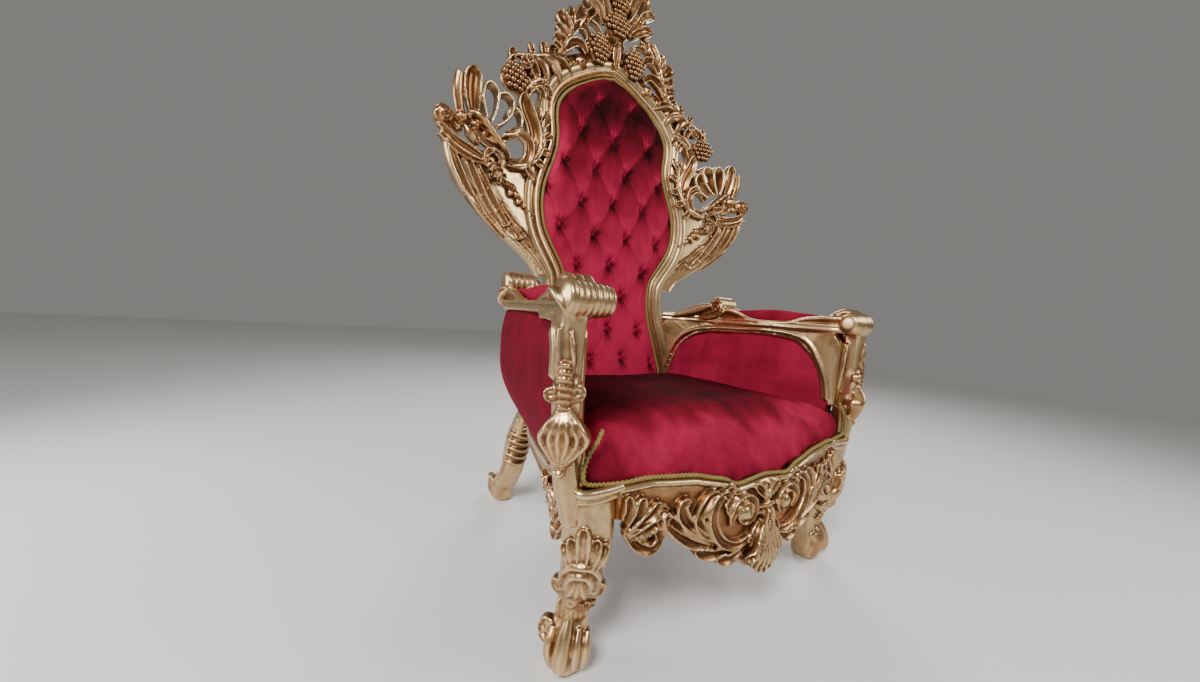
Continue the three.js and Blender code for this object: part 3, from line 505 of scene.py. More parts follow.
# Tone leads from pale gold to copper, and tone above 1 paints shade; the relief value paints highlights on
# the ridges and shade in the recesses
def makeGilding():
    f = Finish("wornGilding")
    look = coloursOf(gildLook)
    tone = f.attribute("tone")
    reliefShading = f.attribute("reliefShading")
    broad = f.noise(9, 4)
    fine = f.noise(60, 5, 0.65)
    grain = f.noise(280, 3, 0.6)
    carved = f.blend((broad * 1.6 - 0.4).held(), look["copper"], look["bronze"])
    plain = f.blend((fine * 1.2 + broad * 1.2 - 0.9).held(), look["pale"], look["paleShade"])
    base = f.blend((tone + (broad - 0.5) * 0.5 * (1 - tone)).held(), plain, carved)
    # painted shade: tone above 1, set on undersides and low sides of the carving, blends towards near-black
    undersideShade = ((tone - 1.0 + (fine - 0.5) * 0.3) * 1.5).held()
    base = f.blend(undersideShade * 0.75, base, look["recess"])
    # painted highlight on raised ridges, partly rubbed gilding
    ridgeHighlightAndWear = ((reliefShading - 0.57 + (fine - 0.5) * 0.22) * 3.4).held()
    base = f.blend(ridgeHighlightAndWear * 0.85, base, look["bright"])
    shaded = ((0.485 - reliefShading + (fine - 0.5) * 0.14) * 6.0).held()
    base = f.blend(shaded * (0.80 - tone * 0.1), base, look["bronze"])
    # painted shade: the deepest recesses blend towards near-black, and there the gilding also loses metal and
    # gains roughness
    hollowShade = ((0.43 - reliefShading + (fine - 0.5) * 0.16) * 4.2).held()
    base = f.blend(hollowShade * 0.86, base, look["recess"])
    rubbed = ((fine + broad * 0.7 - 0.98) * 4.5).held() * (1 - ridgeHighlightAndWear)
    base = f.blend(rubbed * (0.32 + tone * 0.3), base, look["copper"])
    specks = ((grain - 0.64) * 9).held() * 0.6
    base = f.blend(specks * (0.25 + tone * 0.5), base, look["recess"])
    f.set(Base_Color=base, Metallic=(gildLook["metal"] - hollowShade * 0.45).held(),
          Roughness=(gildLook["roughness"] + hollowShade * 0.36 + fine * 0.18 - ridgeHighlightAndWear * 0.06).held(),
          Normal=f.bump(fine * 0.6 + grain * 0.35, 0.4, 0.0012))
    return f.material


# dark, crimson and bright are shaded, plain and lit tones of one crimson velvet: dark is painted shade and
# bright is a painted highlight
velvetLook = {"dark": (0.014, 0.0012, 0.0016), "crimson": (0.160, 0.0060, 0.017),
              "bright": (0.42, 0.017, 0.060), "sheenTint": (1.0, 0.06, 0.20), "roughness": 0.82,
              "sheen": 0.07, "specular": 0.06}


def makeVelvet():
    f = Finish("crimsonVelvet")
    look = coloursOf(velvetLook)
    pile = f.noise(1100, 3, 0.7)
    crush = f.noise(10, 4, 0.55, distortion=0.8)
    streak = f.noise(46, 3, 0.55, where=f.place((1.0, 1.0, 0.35)))
    napAndLight = f.attribute("napAndLight")
    # painted light: the stored brightness with crush and streak noise gives near-black painted shade at low
    # values and a painted highlight at high values, crimson between
    napLightAndCrush = napAndLight + (crush - 0.5) * 0.55 + (streak - 0.5) * 0.22
    base = f.blend((napLightAndCrush * 2.0).held(), look["dark"], look["crimson"])
    base = f.blend((napLightAndCrush * 2.0 - 1.0).held(), base, look["bright"])
    f.set(Base_Color=base, Roughness=(velvetLook["roughness"] + (crush - 0.5) * 0.3).held(),
          Normal=f.bump(pile * 0.6 + streak * 0.6, 0.3, 0.0008), Sheen_Weight=velvetLook["sheen"],
          Sheen_Roughness=0.35, Sheen_Tint=look["sheenTint"], Specular_IOR_Level=velvetLook["specular"])
    return f.material


gimpLook = {"dark": (0.15, 0.095, 0.018), "olive": (0.46, 0.35, 0.09), "roughness": 0.5}


def makeGimp():
    f = Finish("oliveGimp")
    look = coloursOf(gimpLook)
    thread = f.node("ShaderNodeTexWave", {"Vector": f.place(), "Scale": 420, "Distortion": 2.0, "Detail": 2})
    fleck = f.noise(180, 3, 0.6)
    base = f.blend((thread * 0.6 + fleck * 0.6 - 0.3).held(), look["dark"], look["olive"])
    f.set(Base_Color=base, Roughness=(gimpLook["roughness"] + fleck * 0.2).held(),
          Normal=f.bump(thread, 0.4, 0.0008))
    return f.material


gilding, velvet, gimp = makeGilding(), makeVelvet(), makeGimp()
print("finishes made")

# A short lens close to the seat, at the photo's angle
view = {"place": (-0.7793, -0.9803, 0.6952), "yaw": 33.187, "pitch": -4.871, "roll": 4.172, "focal": 400.0,
        "centre": (610.0, 348.3), "frameSize": (1200, 682), "sensor": 36}


def makeCamera():
    yaw, pitch, roll = (math.radians(view[k]) for k in ("yaw", "pitch", "roll"))
    ahead = Vector((math.sin(yaw) * math.cos(pitch), math.cos(yaw) * math.cos(pitch), math.sin(pitch)))
    right = Vector((math.cos(yaw), -math.sin(yaw), 0))
    up = right.cross(ahead)
    right, up = right * math.cos(roll) + up * math.sin(roll), up * math.cos(roll) - right * math.sin(roll)
    bpy.ops.object.camera_add(location=view["place"])
    camera = bpy.context.object
    camera.matrix_world = Matrix.Translation(view["place"]) @ Matrix((right, up,
                                                                      -ahead)).transposed().to_4x4()
    width, height = view["frameSize"]
    camera.data.sensor_width = view["sensor"]
    camera.data.lens = view["focal"] / width * view["sensor"]
    camera.data.shift_x = (width / 2 - view["centre"][0]) / width
    camera.data.shift_y = (view["centre"][1] - height / 2) / width
    camera.data.clip_start = 0.02
    bpy.context.scene.camera = camera


makeCamera()
print("camera set")

# Outline of the upholstered back, right half from the top down
panelHalf = [
    (0, 1538), (52, 1520), (105, 1490), (165, 1448), (207, 1406), (231, 1360), (234, 1315), (229, 1272),
    (231, 1230), (243, 1185), (258, 1145), (273, 1100), (280, 1052), (279, 1005), (268, 958), (247, 916),
    (219, 874), (192, 828), (184, 780), (185, 724), (196, 664), (215, 606), (232, 548), (247, 500),
]


def panelWidth(z):
    return table([(h, x) for x, h in reversed(panelHalf)], z)


# Places round the panel and the direction away from it
def panelLoop(steps):
    bottom = back["bottom"]
    half = smoothPath(panelHalf, steps)
    low = smoothPath([(247, 500), (251, 466), (252, bottom)], 4)[1:]
    right = [*map(tuple, half), *map(tuple, low), *((x, bottom) for x in (210, 140, 70, 0))]
    left = [(-x, z) for x, z in reversed(right[1:-1])]
    loop = np.array(right + left)
    ahead = np.roll(loop, -1, axis=0) - np.roll(loop, 1, axis=0)
    away = np.stack([-ahead[:, 1], ahead[:, 0]], axis=1)
    away /= np.linalg.norm(away, axis=1)[:, None]
    inward = np.einsum("ij,ij->i", away, loop - (0, 1000)) < 0
    away[inward] *= -1
    return loop, away


# Section of the frame: out from the panel, forward, and a relief value that paints highlights on the beads
# and shade in the grooves
backMoulding = [
    (-3, -26, 0.5), (-3, 2, 0.4), (0, 6, 0.42), (2, 11, 0.5), (5, 14, 0.58), (8, 13, 0.53), (10, 9, 0.37),
    (11, 8, 0.35), (13, 14, 0.48), (16, 18, 0.58), (20, 18, 0.6), (23, 14, 0.5), (25, 9, 0.34), (28, 9, 0.38),
    (33, 13, 0.5), (40, 17, 0.52), (47, 18, 0.54), (54, 14, 0.5), (57, 6, 0.5), (57, -30, 0.5),
]


def makeBackFrame():
    c = Carving()
    rings = [[onBack(*(p + d * out), rise) for out, rise, _ in backMoulding] for p, d in zip(*panelLoop(150))]
    c.loft(rings, 0.0, True)
    piece = c.mesh("backFrame")
    store(piece, "tone", c.tones)
    # the third column is painted light, stored as relief: high on the beads, low in the grooves
    store(piece, "reliefShading", [rubbed for _, _, rubbed in backMoulding] * len(rings))
    dress(piece, gilding, ["back_frame"], crease=40)


makeBackFrame()


# Rings of curled petals round a bud
def rose(c, x, z, radius):
    c.ball(onBack(x, z, 2), radius, (1, 0.9, 1), 0.7, 8, 14)
    for share, count, out, turn in [(0.82, 5, 14, 0), (0.56, 4, 22, 0.5), (0.28, 3, 27, 0.2)]:
        for k in range(count):
            a = math.tau * (k + turn) / count
            path = []
            for s in (-1, -0.5, 0, 0.5, 1):
                b = a + s * math.pi / count * 1.15
                r = radius * share * (1 - 0.13 * s)
                path.append(onBack(x + r * math.cos(b), z + r * math.sin(b),
                                   (out - 2 * s * s) * (radius + 14) / 43))
            c.tube(path, max(3.2, radius * 0.13), 7, 12, flat=1.8,
                   taper=lambda t: 0.55 + 0.5 * math.sin(math.pi * t))
    c.ball(onBack(x, z, 24 * (radius + 14) / 43), max(3, radius * 0.16))


# The horn: its outer and inner edge from the arm up, then its rim, reeds and depth
horn = [(284, 798, 238, 806), (300, 822, 246, 832), (322, 846, 256, 862), (388, 892, 292, 910),
        (447, 930, 322, 956), (500, 972, 334, 1005), (543, 1014, 338, 1050), (570, 1062, 336, 1092),
        (588, 1126, 340, 1128)]
wing = {"rows": 44, "across": 66, "rim": 15, "reeds": 4, "depth": (14, 20), "behind": -24}


def makeWing():
    c = Carving()
    rows = smoothPath(horn, wing["rows"])
    body, tones = [], []
    for r, (ox, oz, ix, iz) in enumerate(rows):
        t = r / wing["rows"]
        rim = min(0.3, wing["rim"] / math.hypot(ox - ix, oz - iz))
        edge = table([(0, 1.0), (0.28, 0.98), (0.45, 0.72), (0.62, 0.55), (0.8, 0.44), (1, 0.38)], t)
        deep = mix(*wing["depth"], t)
        ring = []
        for j in range(wing["across"] + 1):
            u = j / wing["across"]
            if u < rim:
                rise, shade = deep * (0.35 + 0.75 * math.sin(math.pi * min(1, u / rim)) ** 0.6), 0.0
            elif u < edge:
                v = (u - rim) / (edge - rim)
                rise, shade = deep * (0.3 + 0.55 * abs(math.sin(math.pi * wing["reeds"] * v)) ** 0.7), 0.45
            else:
                rise, shade = mix(deep * 0.3, 10, min(1, (u - edge) * 9)), 0.0
            ring.append(onBack(mix(ox, ix, u), mix(oz, iz, u), rise))
            tones.append(shade)
        middle = (mix(ox, ix, 0.5), mix(oz, iz, 0.5))
        ring += [onBack(ix, iz, wing["behind"]), onBack(*middle, wing["behind"]),
                 onBack(ox, oz, wing["behind"] + 2)]
        tones += [0.3] * 3
        body.append(ring)
    c.loft(body, tones)

    # long leaves that climb the horn, their faces hollow
    for path, wide in [(((402, 892), (486, 966), (540, 1046), (572, 1140)), 12),
                       (((388, 902), (456, 976), (500, 1050), (536, 1128)), 13),
                       (((360, 900), (420, 968), (462, 1032), (500, 1100)), 12),
                       (((318, 884), (352, 930), (388, 968), (428, 1004)), 9),
                       (((290, 872), (312, 906), (348, 936), (392, 966)), 8)]:
        c.scroll(backRun(path, 9), wide, 14, 16, tip=0.25, swell=0.6, tone=0.75)
    for path in [[(500, 990), (468, 1008), (446, 1052)], [(466, 958), (430, 968), (404, 1002)],
                 [(424, 930), (394, 934), (370, 962)], [(376, 902), (346, 904), (318, 930)]]:
        c.ridge(backRun(path, 8), 8, 12, 12, tip=0.25, swell=0.5, profile="blade", tone=0.9)

    # S-shaped acanthus beside the panel: a broad smooth leaf, a stem and hanging buds
    c.petal(backRun([(330, 1150), (312, 1196), (316, 1244), (342, 1296), (352, 1338)], 6), 25, 22, 20, 0.55,
            0.55, 0.5)
    c.reed(backRun([(402, 1106), (350, 1112), (306, 1150), (280, 1205), (284, 1262), (266, 1318)], 20), 8,
           12, 20, tip=0.45, tone=0.7)
    c.scroll(backRun([(396, 1124), (346, 1136), (312, 1172), (298, 1216)], 14), 12, 12, 20, tip=0.4)
    for rootX, rootZ, tipX, tipZ, half in [(282, 1258, 262, 1298, 11), (282, 1222, 252, 1246, 12),
                                           (290, 1182, 258, 1186, 12), (312, 1148, 280, 1140, 12),
                                           (340, 1122, 314, 1094, 12), (298, 1270, 300, 1312, 12)]:
        c.petal(backRun([(rootX, rootZ), (mix(rootX, tipX, 0.5), mix(rootZ, tipZ, 0.5)), (tipX, tipZ)],
                        (16, 24, 18)), half, 10, 18, waist=0.35)
        c.ball(onBack(mix(rootX, tipX, 0.8), mix(rootZ, tipZ, 0.8), 20), half * 0.55, tone=0.8)

    # ribbon loops above the rose: two straps and four open loops
    c.reed(backRun([(538, 1194, 4), (550, 1250, 14), (548, 1300, 22)]), 14, 15, 14, tip=0.8, tone=0.7)
    c.petal(backRun([(502, 1200, 4), (512, 1262, 14), (510, 1330, 24)]), 25, 17, 14, 0.8, 0.45,
            0.7)
    for path, far in [([(466, 1206), (480, 1255), (476, 1300), (456, 1314), (436, 1294), (440, 1250),
                        (454, 1206)], 34), ([(440, 1200), (416, 1222), (394, 1252), (388, 1290),
                                             (410, 1305), (434, 1290), (436, 1262)], 34),
                      ([(416, 1186), (378, 1206), (358, 1242), (370, 1273), (396, 1270), (408, 1244)], 32),
                      ([(382, 1110), (338, 1130), (318, 1168), (330, 1206), (360, 1214), (384, 1198)], 30)]:
        c.band(path, far)
    c.scroll(backRun([(416, 1176, 6), (376, 1210, 16), (340, 1196, 22), (332, 1158, 20), (352, 1122, 14),
                      (396, 1106, 10)]), 17, 17, 14, tip=0.6, tone=0.8)
    # band from the rose down to the hood
    for shift, wide in ((0, 12), (-22, 9)):
        c.scroll(backRun([(596, 1150 + shift), (552, 1124 + shift), (510, 1112 + shift),
                          (462, 1100 + shift * 0.4)], 12), wide, 14, 18, tip=0.6, tone=0.75)
    # knotted bow
    for k in range(4):
        x, z = 474 - k * 17, 1196 - k * 15
        c.tube(backRun([(x - 26, z - 20), (x - 8, z - 4), (x + 14, z + 10), (x + 34, z + 18)],
                       (14, 32, 32, 14)), 9, 8, 16, flat=1.2, tone=0.8)
    c.scroll(backRun([(500, 1176), (476, 1150), (440, 1142), (410, 1150)], 16), 13, 14, 16, tone=0.9)
    c.ridge(backRun([(528, 1172), (510, 1146), (486, 1134)], 18), 12, 14, 16, tone=0.9)
    for x, z, radius in [(582, 1176, 29), (534, 1190, 20), (496, 1186, 15), (512, 1160, 15), (470, 1168, 13),
                         (548, 1160, 13)]:
        rose(c, x, z, radius)
    # hood curl, hanging bud and berries
    c.scroll(backRun([(462, 1084), (468, 1112), (448, 1132), (424, 1120), (424, 1098)], 16), 9, 14, 18,
             tip=0.6, tone=0.7)
    c.acanthus(onBack, [(452, 1104), (434, 1076), (404, 1050)], 20, 3, 14, 14)
    for x, z, radius in [(396, 1052, 11), (378, 1048, 12), (388, 1030, 11), (366, 1030, 12), (352, 1018, 10),
                         (360, 1010, 9), (338, 1004, 8), (328, 994, 7)]:
        c.ball(onBack(x, z, 15), radius, (1, 1.1, 1))
    c.petal(backRun([(330, 996), (318, 986), (304, 978)], 12), 8, 9, 14)
    carvePair("wing", c, "wing")


makeWing()

berry = {"size": 9.6, "rows": 6, "across": 9, "spacing": 1.78}


# Each berry gets a painted highlight where it faces forward and up, and painted shade towards its neighbours
# and underneath
def makeBerries(berries):
    piece = berries.mesh("crestBerries")
    reliefShading = []
    one = (berry["rows"] - 1) * berry["across"]
    for start in range(0, len(berries.verts), one):
        fruit = berries.verts[start:start + one]
        centre = np.mean(fruit, axis=0)
        for v in fruit:
            away = unit(np.array(v) - centre)
            reliefShading.append(float(np.clip(0.22 - 0.44 * away[1] + 0.14 * away[2], 0.06, 0.8)))
    store(piece, "tone", [0.9] * len(reliefShading))
    store(piece, "reliefShading", reliefShading)
    dress(piece, gilding)


def makeCrest():
    c, berries = Carving(), Carving()

    def leaf(path, wide, high, out=6, profile="reed", **more):
        c.ridge(backRun(path, out), wide, high, profile=profile, **more)

    def lobes(outs, rows, *more):
        for path, half in rows:
            c.petal(backRun(path, outs), half, *more)

    # the ground that carries the carving
    leaf([(352, 1340), (330, 1384), (286, 1434), (222, 1484), (140, 1536), (60, 1572), (-20, 1590)], 30, 12,
         -6, sink=22, tip=0.8, tone=0.5)
    leaf([(352, 1338), (340, 1362), (312, 1384), (282, 1402), (256, 1432)], 13, 18, 8, profile="scroll",
         tone=0.8)
    # shoulder leaf: a rib from the fruit inwards with long tips hanging to the pale field
    leaf([(405, 1405), (397, 1424), (372, 1440), (342, 1452), (307, 1469), (266, 1489), (223, 1509),
          (193, 1510), (176, 1496)], 9, 20, 8, tone=0.6, tip=0.5)
    for path, wide, kind, tone in [([(276, 1482), (226, 1496), (170, 1478)], 17, "blade", 1.0),
                                   ([(306, 1474), (254, 1468), (212, 1428)], 20, "leaf", 0.9),
                                   ([(330, 1464), (288, 1446), (262, 1394)], 17, "reed", 0.7)]:
        c.ridge(backRun(path, (8, 20, 10)), wide, 15, 18, tip=0.3, swell=0.45,
                profile=kind, tone=tone, contrast=0.6)
    c.petal(backRun([(350, 1450), (326, 1436), (306, 1400)], 10), 14, 17, 16)
    leaf([(336, 1456), (330, 1438), (347, 1416), (362, 1420), (354, 1438)], 9, 14, 14, sink=16, tip=0.6,
         profile="scroll")
    c.petal(backRun([(388, 1410), (392, 1432), (386, 1452)], 6), 13, 14, 16)
    # leaf beneath it that runs down beside the panel
    leaf([(348, 1332), (336, 1365), (310, 1391), (278, 1408), (246, 1414)], 9, 17, 8, tone=0.6, tip=0.4)
    leaf([(336, 1330), (320, 1358), (295, 1380), (262, 1396)], 7, 14, 8, tone=0.7, tip=0.4)
    lobes((8, 15, 8), [(((312, 1374), (292, 1368), (284, 1344)), 11),
                       (((288, 1390), (268, 1386), (254, 1366)), 10),
                       (((330, 1372), (352, 1376), (366, 1362)), 11)], 13, 16, 0.8)
    # lobes on the outside of the rib
    lobes((6, 12, 6), [(((280, 1480), (285, 1498), (288, 1518)), 14),
                       (((322, 1462), (330, 1478), (334, 1492)), 9),
                       (((262, 1492), (260, 1508), (252, 1524)), 11)], 14, 16)
    # broad vine leaf that rises to the middle, open beneath
    leaf([(266, 1483), (238, 1509), (214, 1540), (198, 1572), (191, 1601), (185, 1622), (163, 1650),
          (128, 1672), (90, 1679), (66, 1664)], 8, 22, 10, tip=0.6, tone=0.5)
    lobes((8, 18, 10), [(((188, 1596), (212, 1612), (236, 1642)), 23),
                        (((166, 1636), (158, 1668), (140, 1700)), 20),
                        (((192, 1580), (220, 1586), (244, 1598)), 14),
                        (((206, 1548), (228, 1553), (250, 1560)), 18),
                        (((226, 1520), (238, 1530), (250, 1534)), 9),
                        (((188, 1626), (192, 1650), (188, 1676)), 14),
                        (((130, 1668), (122, 1690), (104, 1704)), 14)], 17, 16, 0.85, 0.6)
    leaf([(190, 1596), (166, 1632), (134, 1642), (114, 1622), (122, 1602)], 14, 18, 10, sink=16, tip=0.6,
         profile="scroll")
    leaf([(224, 1520), (186, 1566), (148, 1584), (120, 1566)], 17, 19, 10, sink=16, tip=0.5, profile="scroll")
    leaf([(232, 1520), (196, 1572), (158, 1592), (128, 1590), (114, 1572)], 6, 22, 12, tone=0.4)
    # top leaves, each with a raised middle vein, and side curl
    for path, half in [(((40, 1704), (82, 1770), (116, 1852)), 24),
                       (((28, 1744), (50, 1824), (76, 1906)), 24),
                       (((62, 1698), (98, 1724), (140, 1742)), 17),
                       (((74, 1752), (112, 1784), (146, 1800)), 15),
                       (((60, 1830), (100, 1880), (120, 1904)), 14)]:
        c.petal(backRun(path, (12, 26, 14)), half, 19, 20, 0.85, 0.6)
        c.reed(backRun(path, (14, 30, 20)), 4, 10, 14, tone=0.4, tip=0.4)
    leaf([(56, 1749), (78, 1766), (102, 1762), (106, 1744), (90, 1730)], 10, 15, 22, sink=16, tip=0.6,
         profile="scroll")
    c.grapes(berries, 72, 1598, 44, 52, 30)
    c.grapes(berries, 384, 1366, 46, 43, 24)
    for x, z, radius in [(140, 1530, 25), (232, 1474, 17), (186, 1502, 15)]:
        rose(c, x, z, radius)
    c.mirror()
    berries.mirror()
    c.grapes(berries, 0, 1704, 54, 46, 34)
    c.grapes(berries, 0, 1780, 44, 42, 34)
    leaf([(0, 1556), (0, 1640), (0, 1740)], 46, 18, 2, sink=26, tone=0.8)
    c.petal(backRun([(0, 1566), (0, 1600), (0, 1650)], 14), 17, 16, 16)
    for x, low, high, half in [(0, 1796, 1946, 27), (-22, 1800, 1912, 16), (22, 1800, 1912, 16)]:
        c.petal(backRun([(x * 0.7, low), (x, mix(low, high, 0.5)), (x * 1.6, high)], (18, 34, 20)), half,
                20, 22, 0.85, 0.6)
    leaf([(0, 1800), (0, 1870), (0, 1936)], 5, 10, (22, 38, 28), sink=14, tone=0.4)
    carve("crest", c, "crest")
    makeBerries(berries)


makeCrest()

# The arm from the post back: its middle line, height of the rim and half width at each depth
armPlan = [(-384, 462), (-330, 444), (-250, 428), (-160, 414), (-60, 410), (40, 408), (120, 384), (190, 330),
           (252, 266)]
armRim = [(-392, 0), (-350, 4), (-310, 2), (-262, -4), (-205, -20), (-130, -24), (-70, -14), (-20, 4),
          (40, 16), (100, 4), (160, -6), (205, -14), (250, -16)]
armHalf = [(-392, 18), (-350, 30), (-310, 34), (-262, 38), (-205, 40), (40, 40), (100, 32), (160, 26),
           (205, 22), (250, 20)]


def armX(y):
    return table(armPlan, y)


def acrossArm(y):
    turn = (armX(y + 12) - armX(y - 12)) / 24
    size = math.hypot(1, turn)
    return lambda across, z: (armX(y) + across / size, y - across * turn / size, z)


# The post and the leg below show their carving on the outer front corner
def onCorner(centre, across, z, out):
    return (centre[0] + 0.6 * out - 0.8 * across, centre[1] - 0.8 * out - 0.6 * across, z)


cornerLift = (0.6, -0.8, 0)
post = [(700, 0, 25, 25), (672, 0, 23, 23), (650, 0, 21, 21), (600, 0, 20, 20), (585, 0, 20, 20),
        (560, 0, 22, 22), (530, 0, 21, 21), (508, 0, 20, 20), (480, 0, 19, 19), (440, -2, 18, 18),
        (400, -8, 19, 19), (360, -16, 18, 18), (320, -24, 16, 17)]


# A ring with flattened sides, rounder the lower its power is
def squareRing(x, y, z, halfX, halfY, corners, power, offset=0):
    ring = []
    for c, s in circle(corners, offset):
        square = (abs(c) ** power + abs(s) ** power) ** (-1 / power)
        ring.append((x + halfX * square * c, y + halfY * square * s, z))
    return ring


def makePost(c):
    centre = (arm["postX"], arm["postY"])
    c.loft([squareRing(centre[0] + shift, centre[1], z, halfX, halfY, 28, 5)
            for z, shift, halfX, halfY in smoothPath(post, 60)], 0.1)

    def at(across, z, out):
        return onCorner(centre, across, z, out)

    def reed(points, wide, high, profile="reed", **more):
        c.ridge(placed(at, points), wide, high, lift=cornerLift, profile=profile, **more)

    # raised bar with a groove on its inner side
    reed([(-13, 668, 20), (-13, 630, 20), (-12, 588, 20)], 8, 9, tip=0.7, tone=0.1)
    reed([(6, 664, 26), (10, 634, 25), (13, 604, 22)], 5, 6, tone=0.2)
    # column of stacked ribs on a copper ground
    c.ball(at(0, 566, 4), 1, (24, 24, 38), 1.2, 10, 16)
    for k in range(7):
        z = 606 - k * 11.5
        half = 8 + 5 * math.sin(math.pi * (k + 1) / 8)
        reed([(-half - 2, z - 3, 20), (-1, z + 2, 28 + 2 * math.sin(math.pi * k / 6)), (half, z - 3, 20)],
             5.4, 6, tone=0.55, tip=0.5, step=3)
    # volutes on both faces
    for across, z, radius, hand in [(20, 564, 17, 1), (-23, 558, 14, -1)]:
        c.volute(lambda dx, dz: at(across + dx * hand, z + dz, 13), radius, 1.5, 2.2, 5, 10, 14, cornerLift,
                 0.45)
        reed([(across - hand * 6, z + 52, 18), (across - hand * 14, z + 30, 18),
              (across - hand * 16, z + 8, 16)], 7, 9, profile="scroll", tone=0.4)
    # fluted shell that flares and closes to a point
    c.ball(at(3, 482, 8), 1, (27, 27, 52), 1.0, 12, 20)
    for k in range(6):
        flare = (k - 2.5) * 15.5
        reed([(3 + flare * 0.2, 536, 20), (4 + flare * 0.72, 508, 32 - abs(flare) * 0.12),
              (4 + flare, 484, 31 - abs(flare) * 0.3), (2 + flare * 0.6, 458, 25 - abs(flare) * 0.15),
              (-3 + flare * 0.1, 430, 16)], 6.4, 15, sink=20, tip=0.4, swell=0.5, tone=0.35, step=4)
    reed([(-12, 428, 18), (-2, 422, 22), (8, 430, 18)], 7, 8, tone=0.3)


roll = {"radius": 34, "length": 96, "ribs": 8, "steps": 96}


def makeRoll(c):
    middleY, middleZ = arm["postY"] - 8, arm["railZ"] + 4
    rings = []
    for i in range(roll["steps"] + 1):
        t = i / roll["steps"]
        r = roll["radius"] - 7 * t ** 2 - 5.5 * (1 - abs(math.sin(math.pi * roll["ribs"] * t)) ** 0.6)
        r *= math.sqrt(max(0.05, 1 - max(0, (t - 0.93) / 0.07) ** 2 * 0.6))
        r *= math.sqrt(max(0.2, 1 - (max(0, 0.14 - t) / 0.14) ** 2))
        x = arm["postX"] + 26 - roll["length"] * t
        rings.append([(x, middleY + r * cosine, middleZ + r * sine) for cosine, sine in circle(28)])
    c.loft(rings, 0.2)
    # leaf tips that curl over the roll from the rail
    for x in (438, 456, 474):
        c.reed([(x - 4, -318, 734), (x, -346, 745), (x + 1, -374, 750), (x, -402, 736)], 10, 11, 16,
               (0, -0.2, 1), tone=0.25)
    c.reed([(490, -330, 716), (497, -362, 728), (498, -390, 716), (494, -404, 696)], 9, 11, 14,
           (1, -0.2, 0.3), tone=0.25)


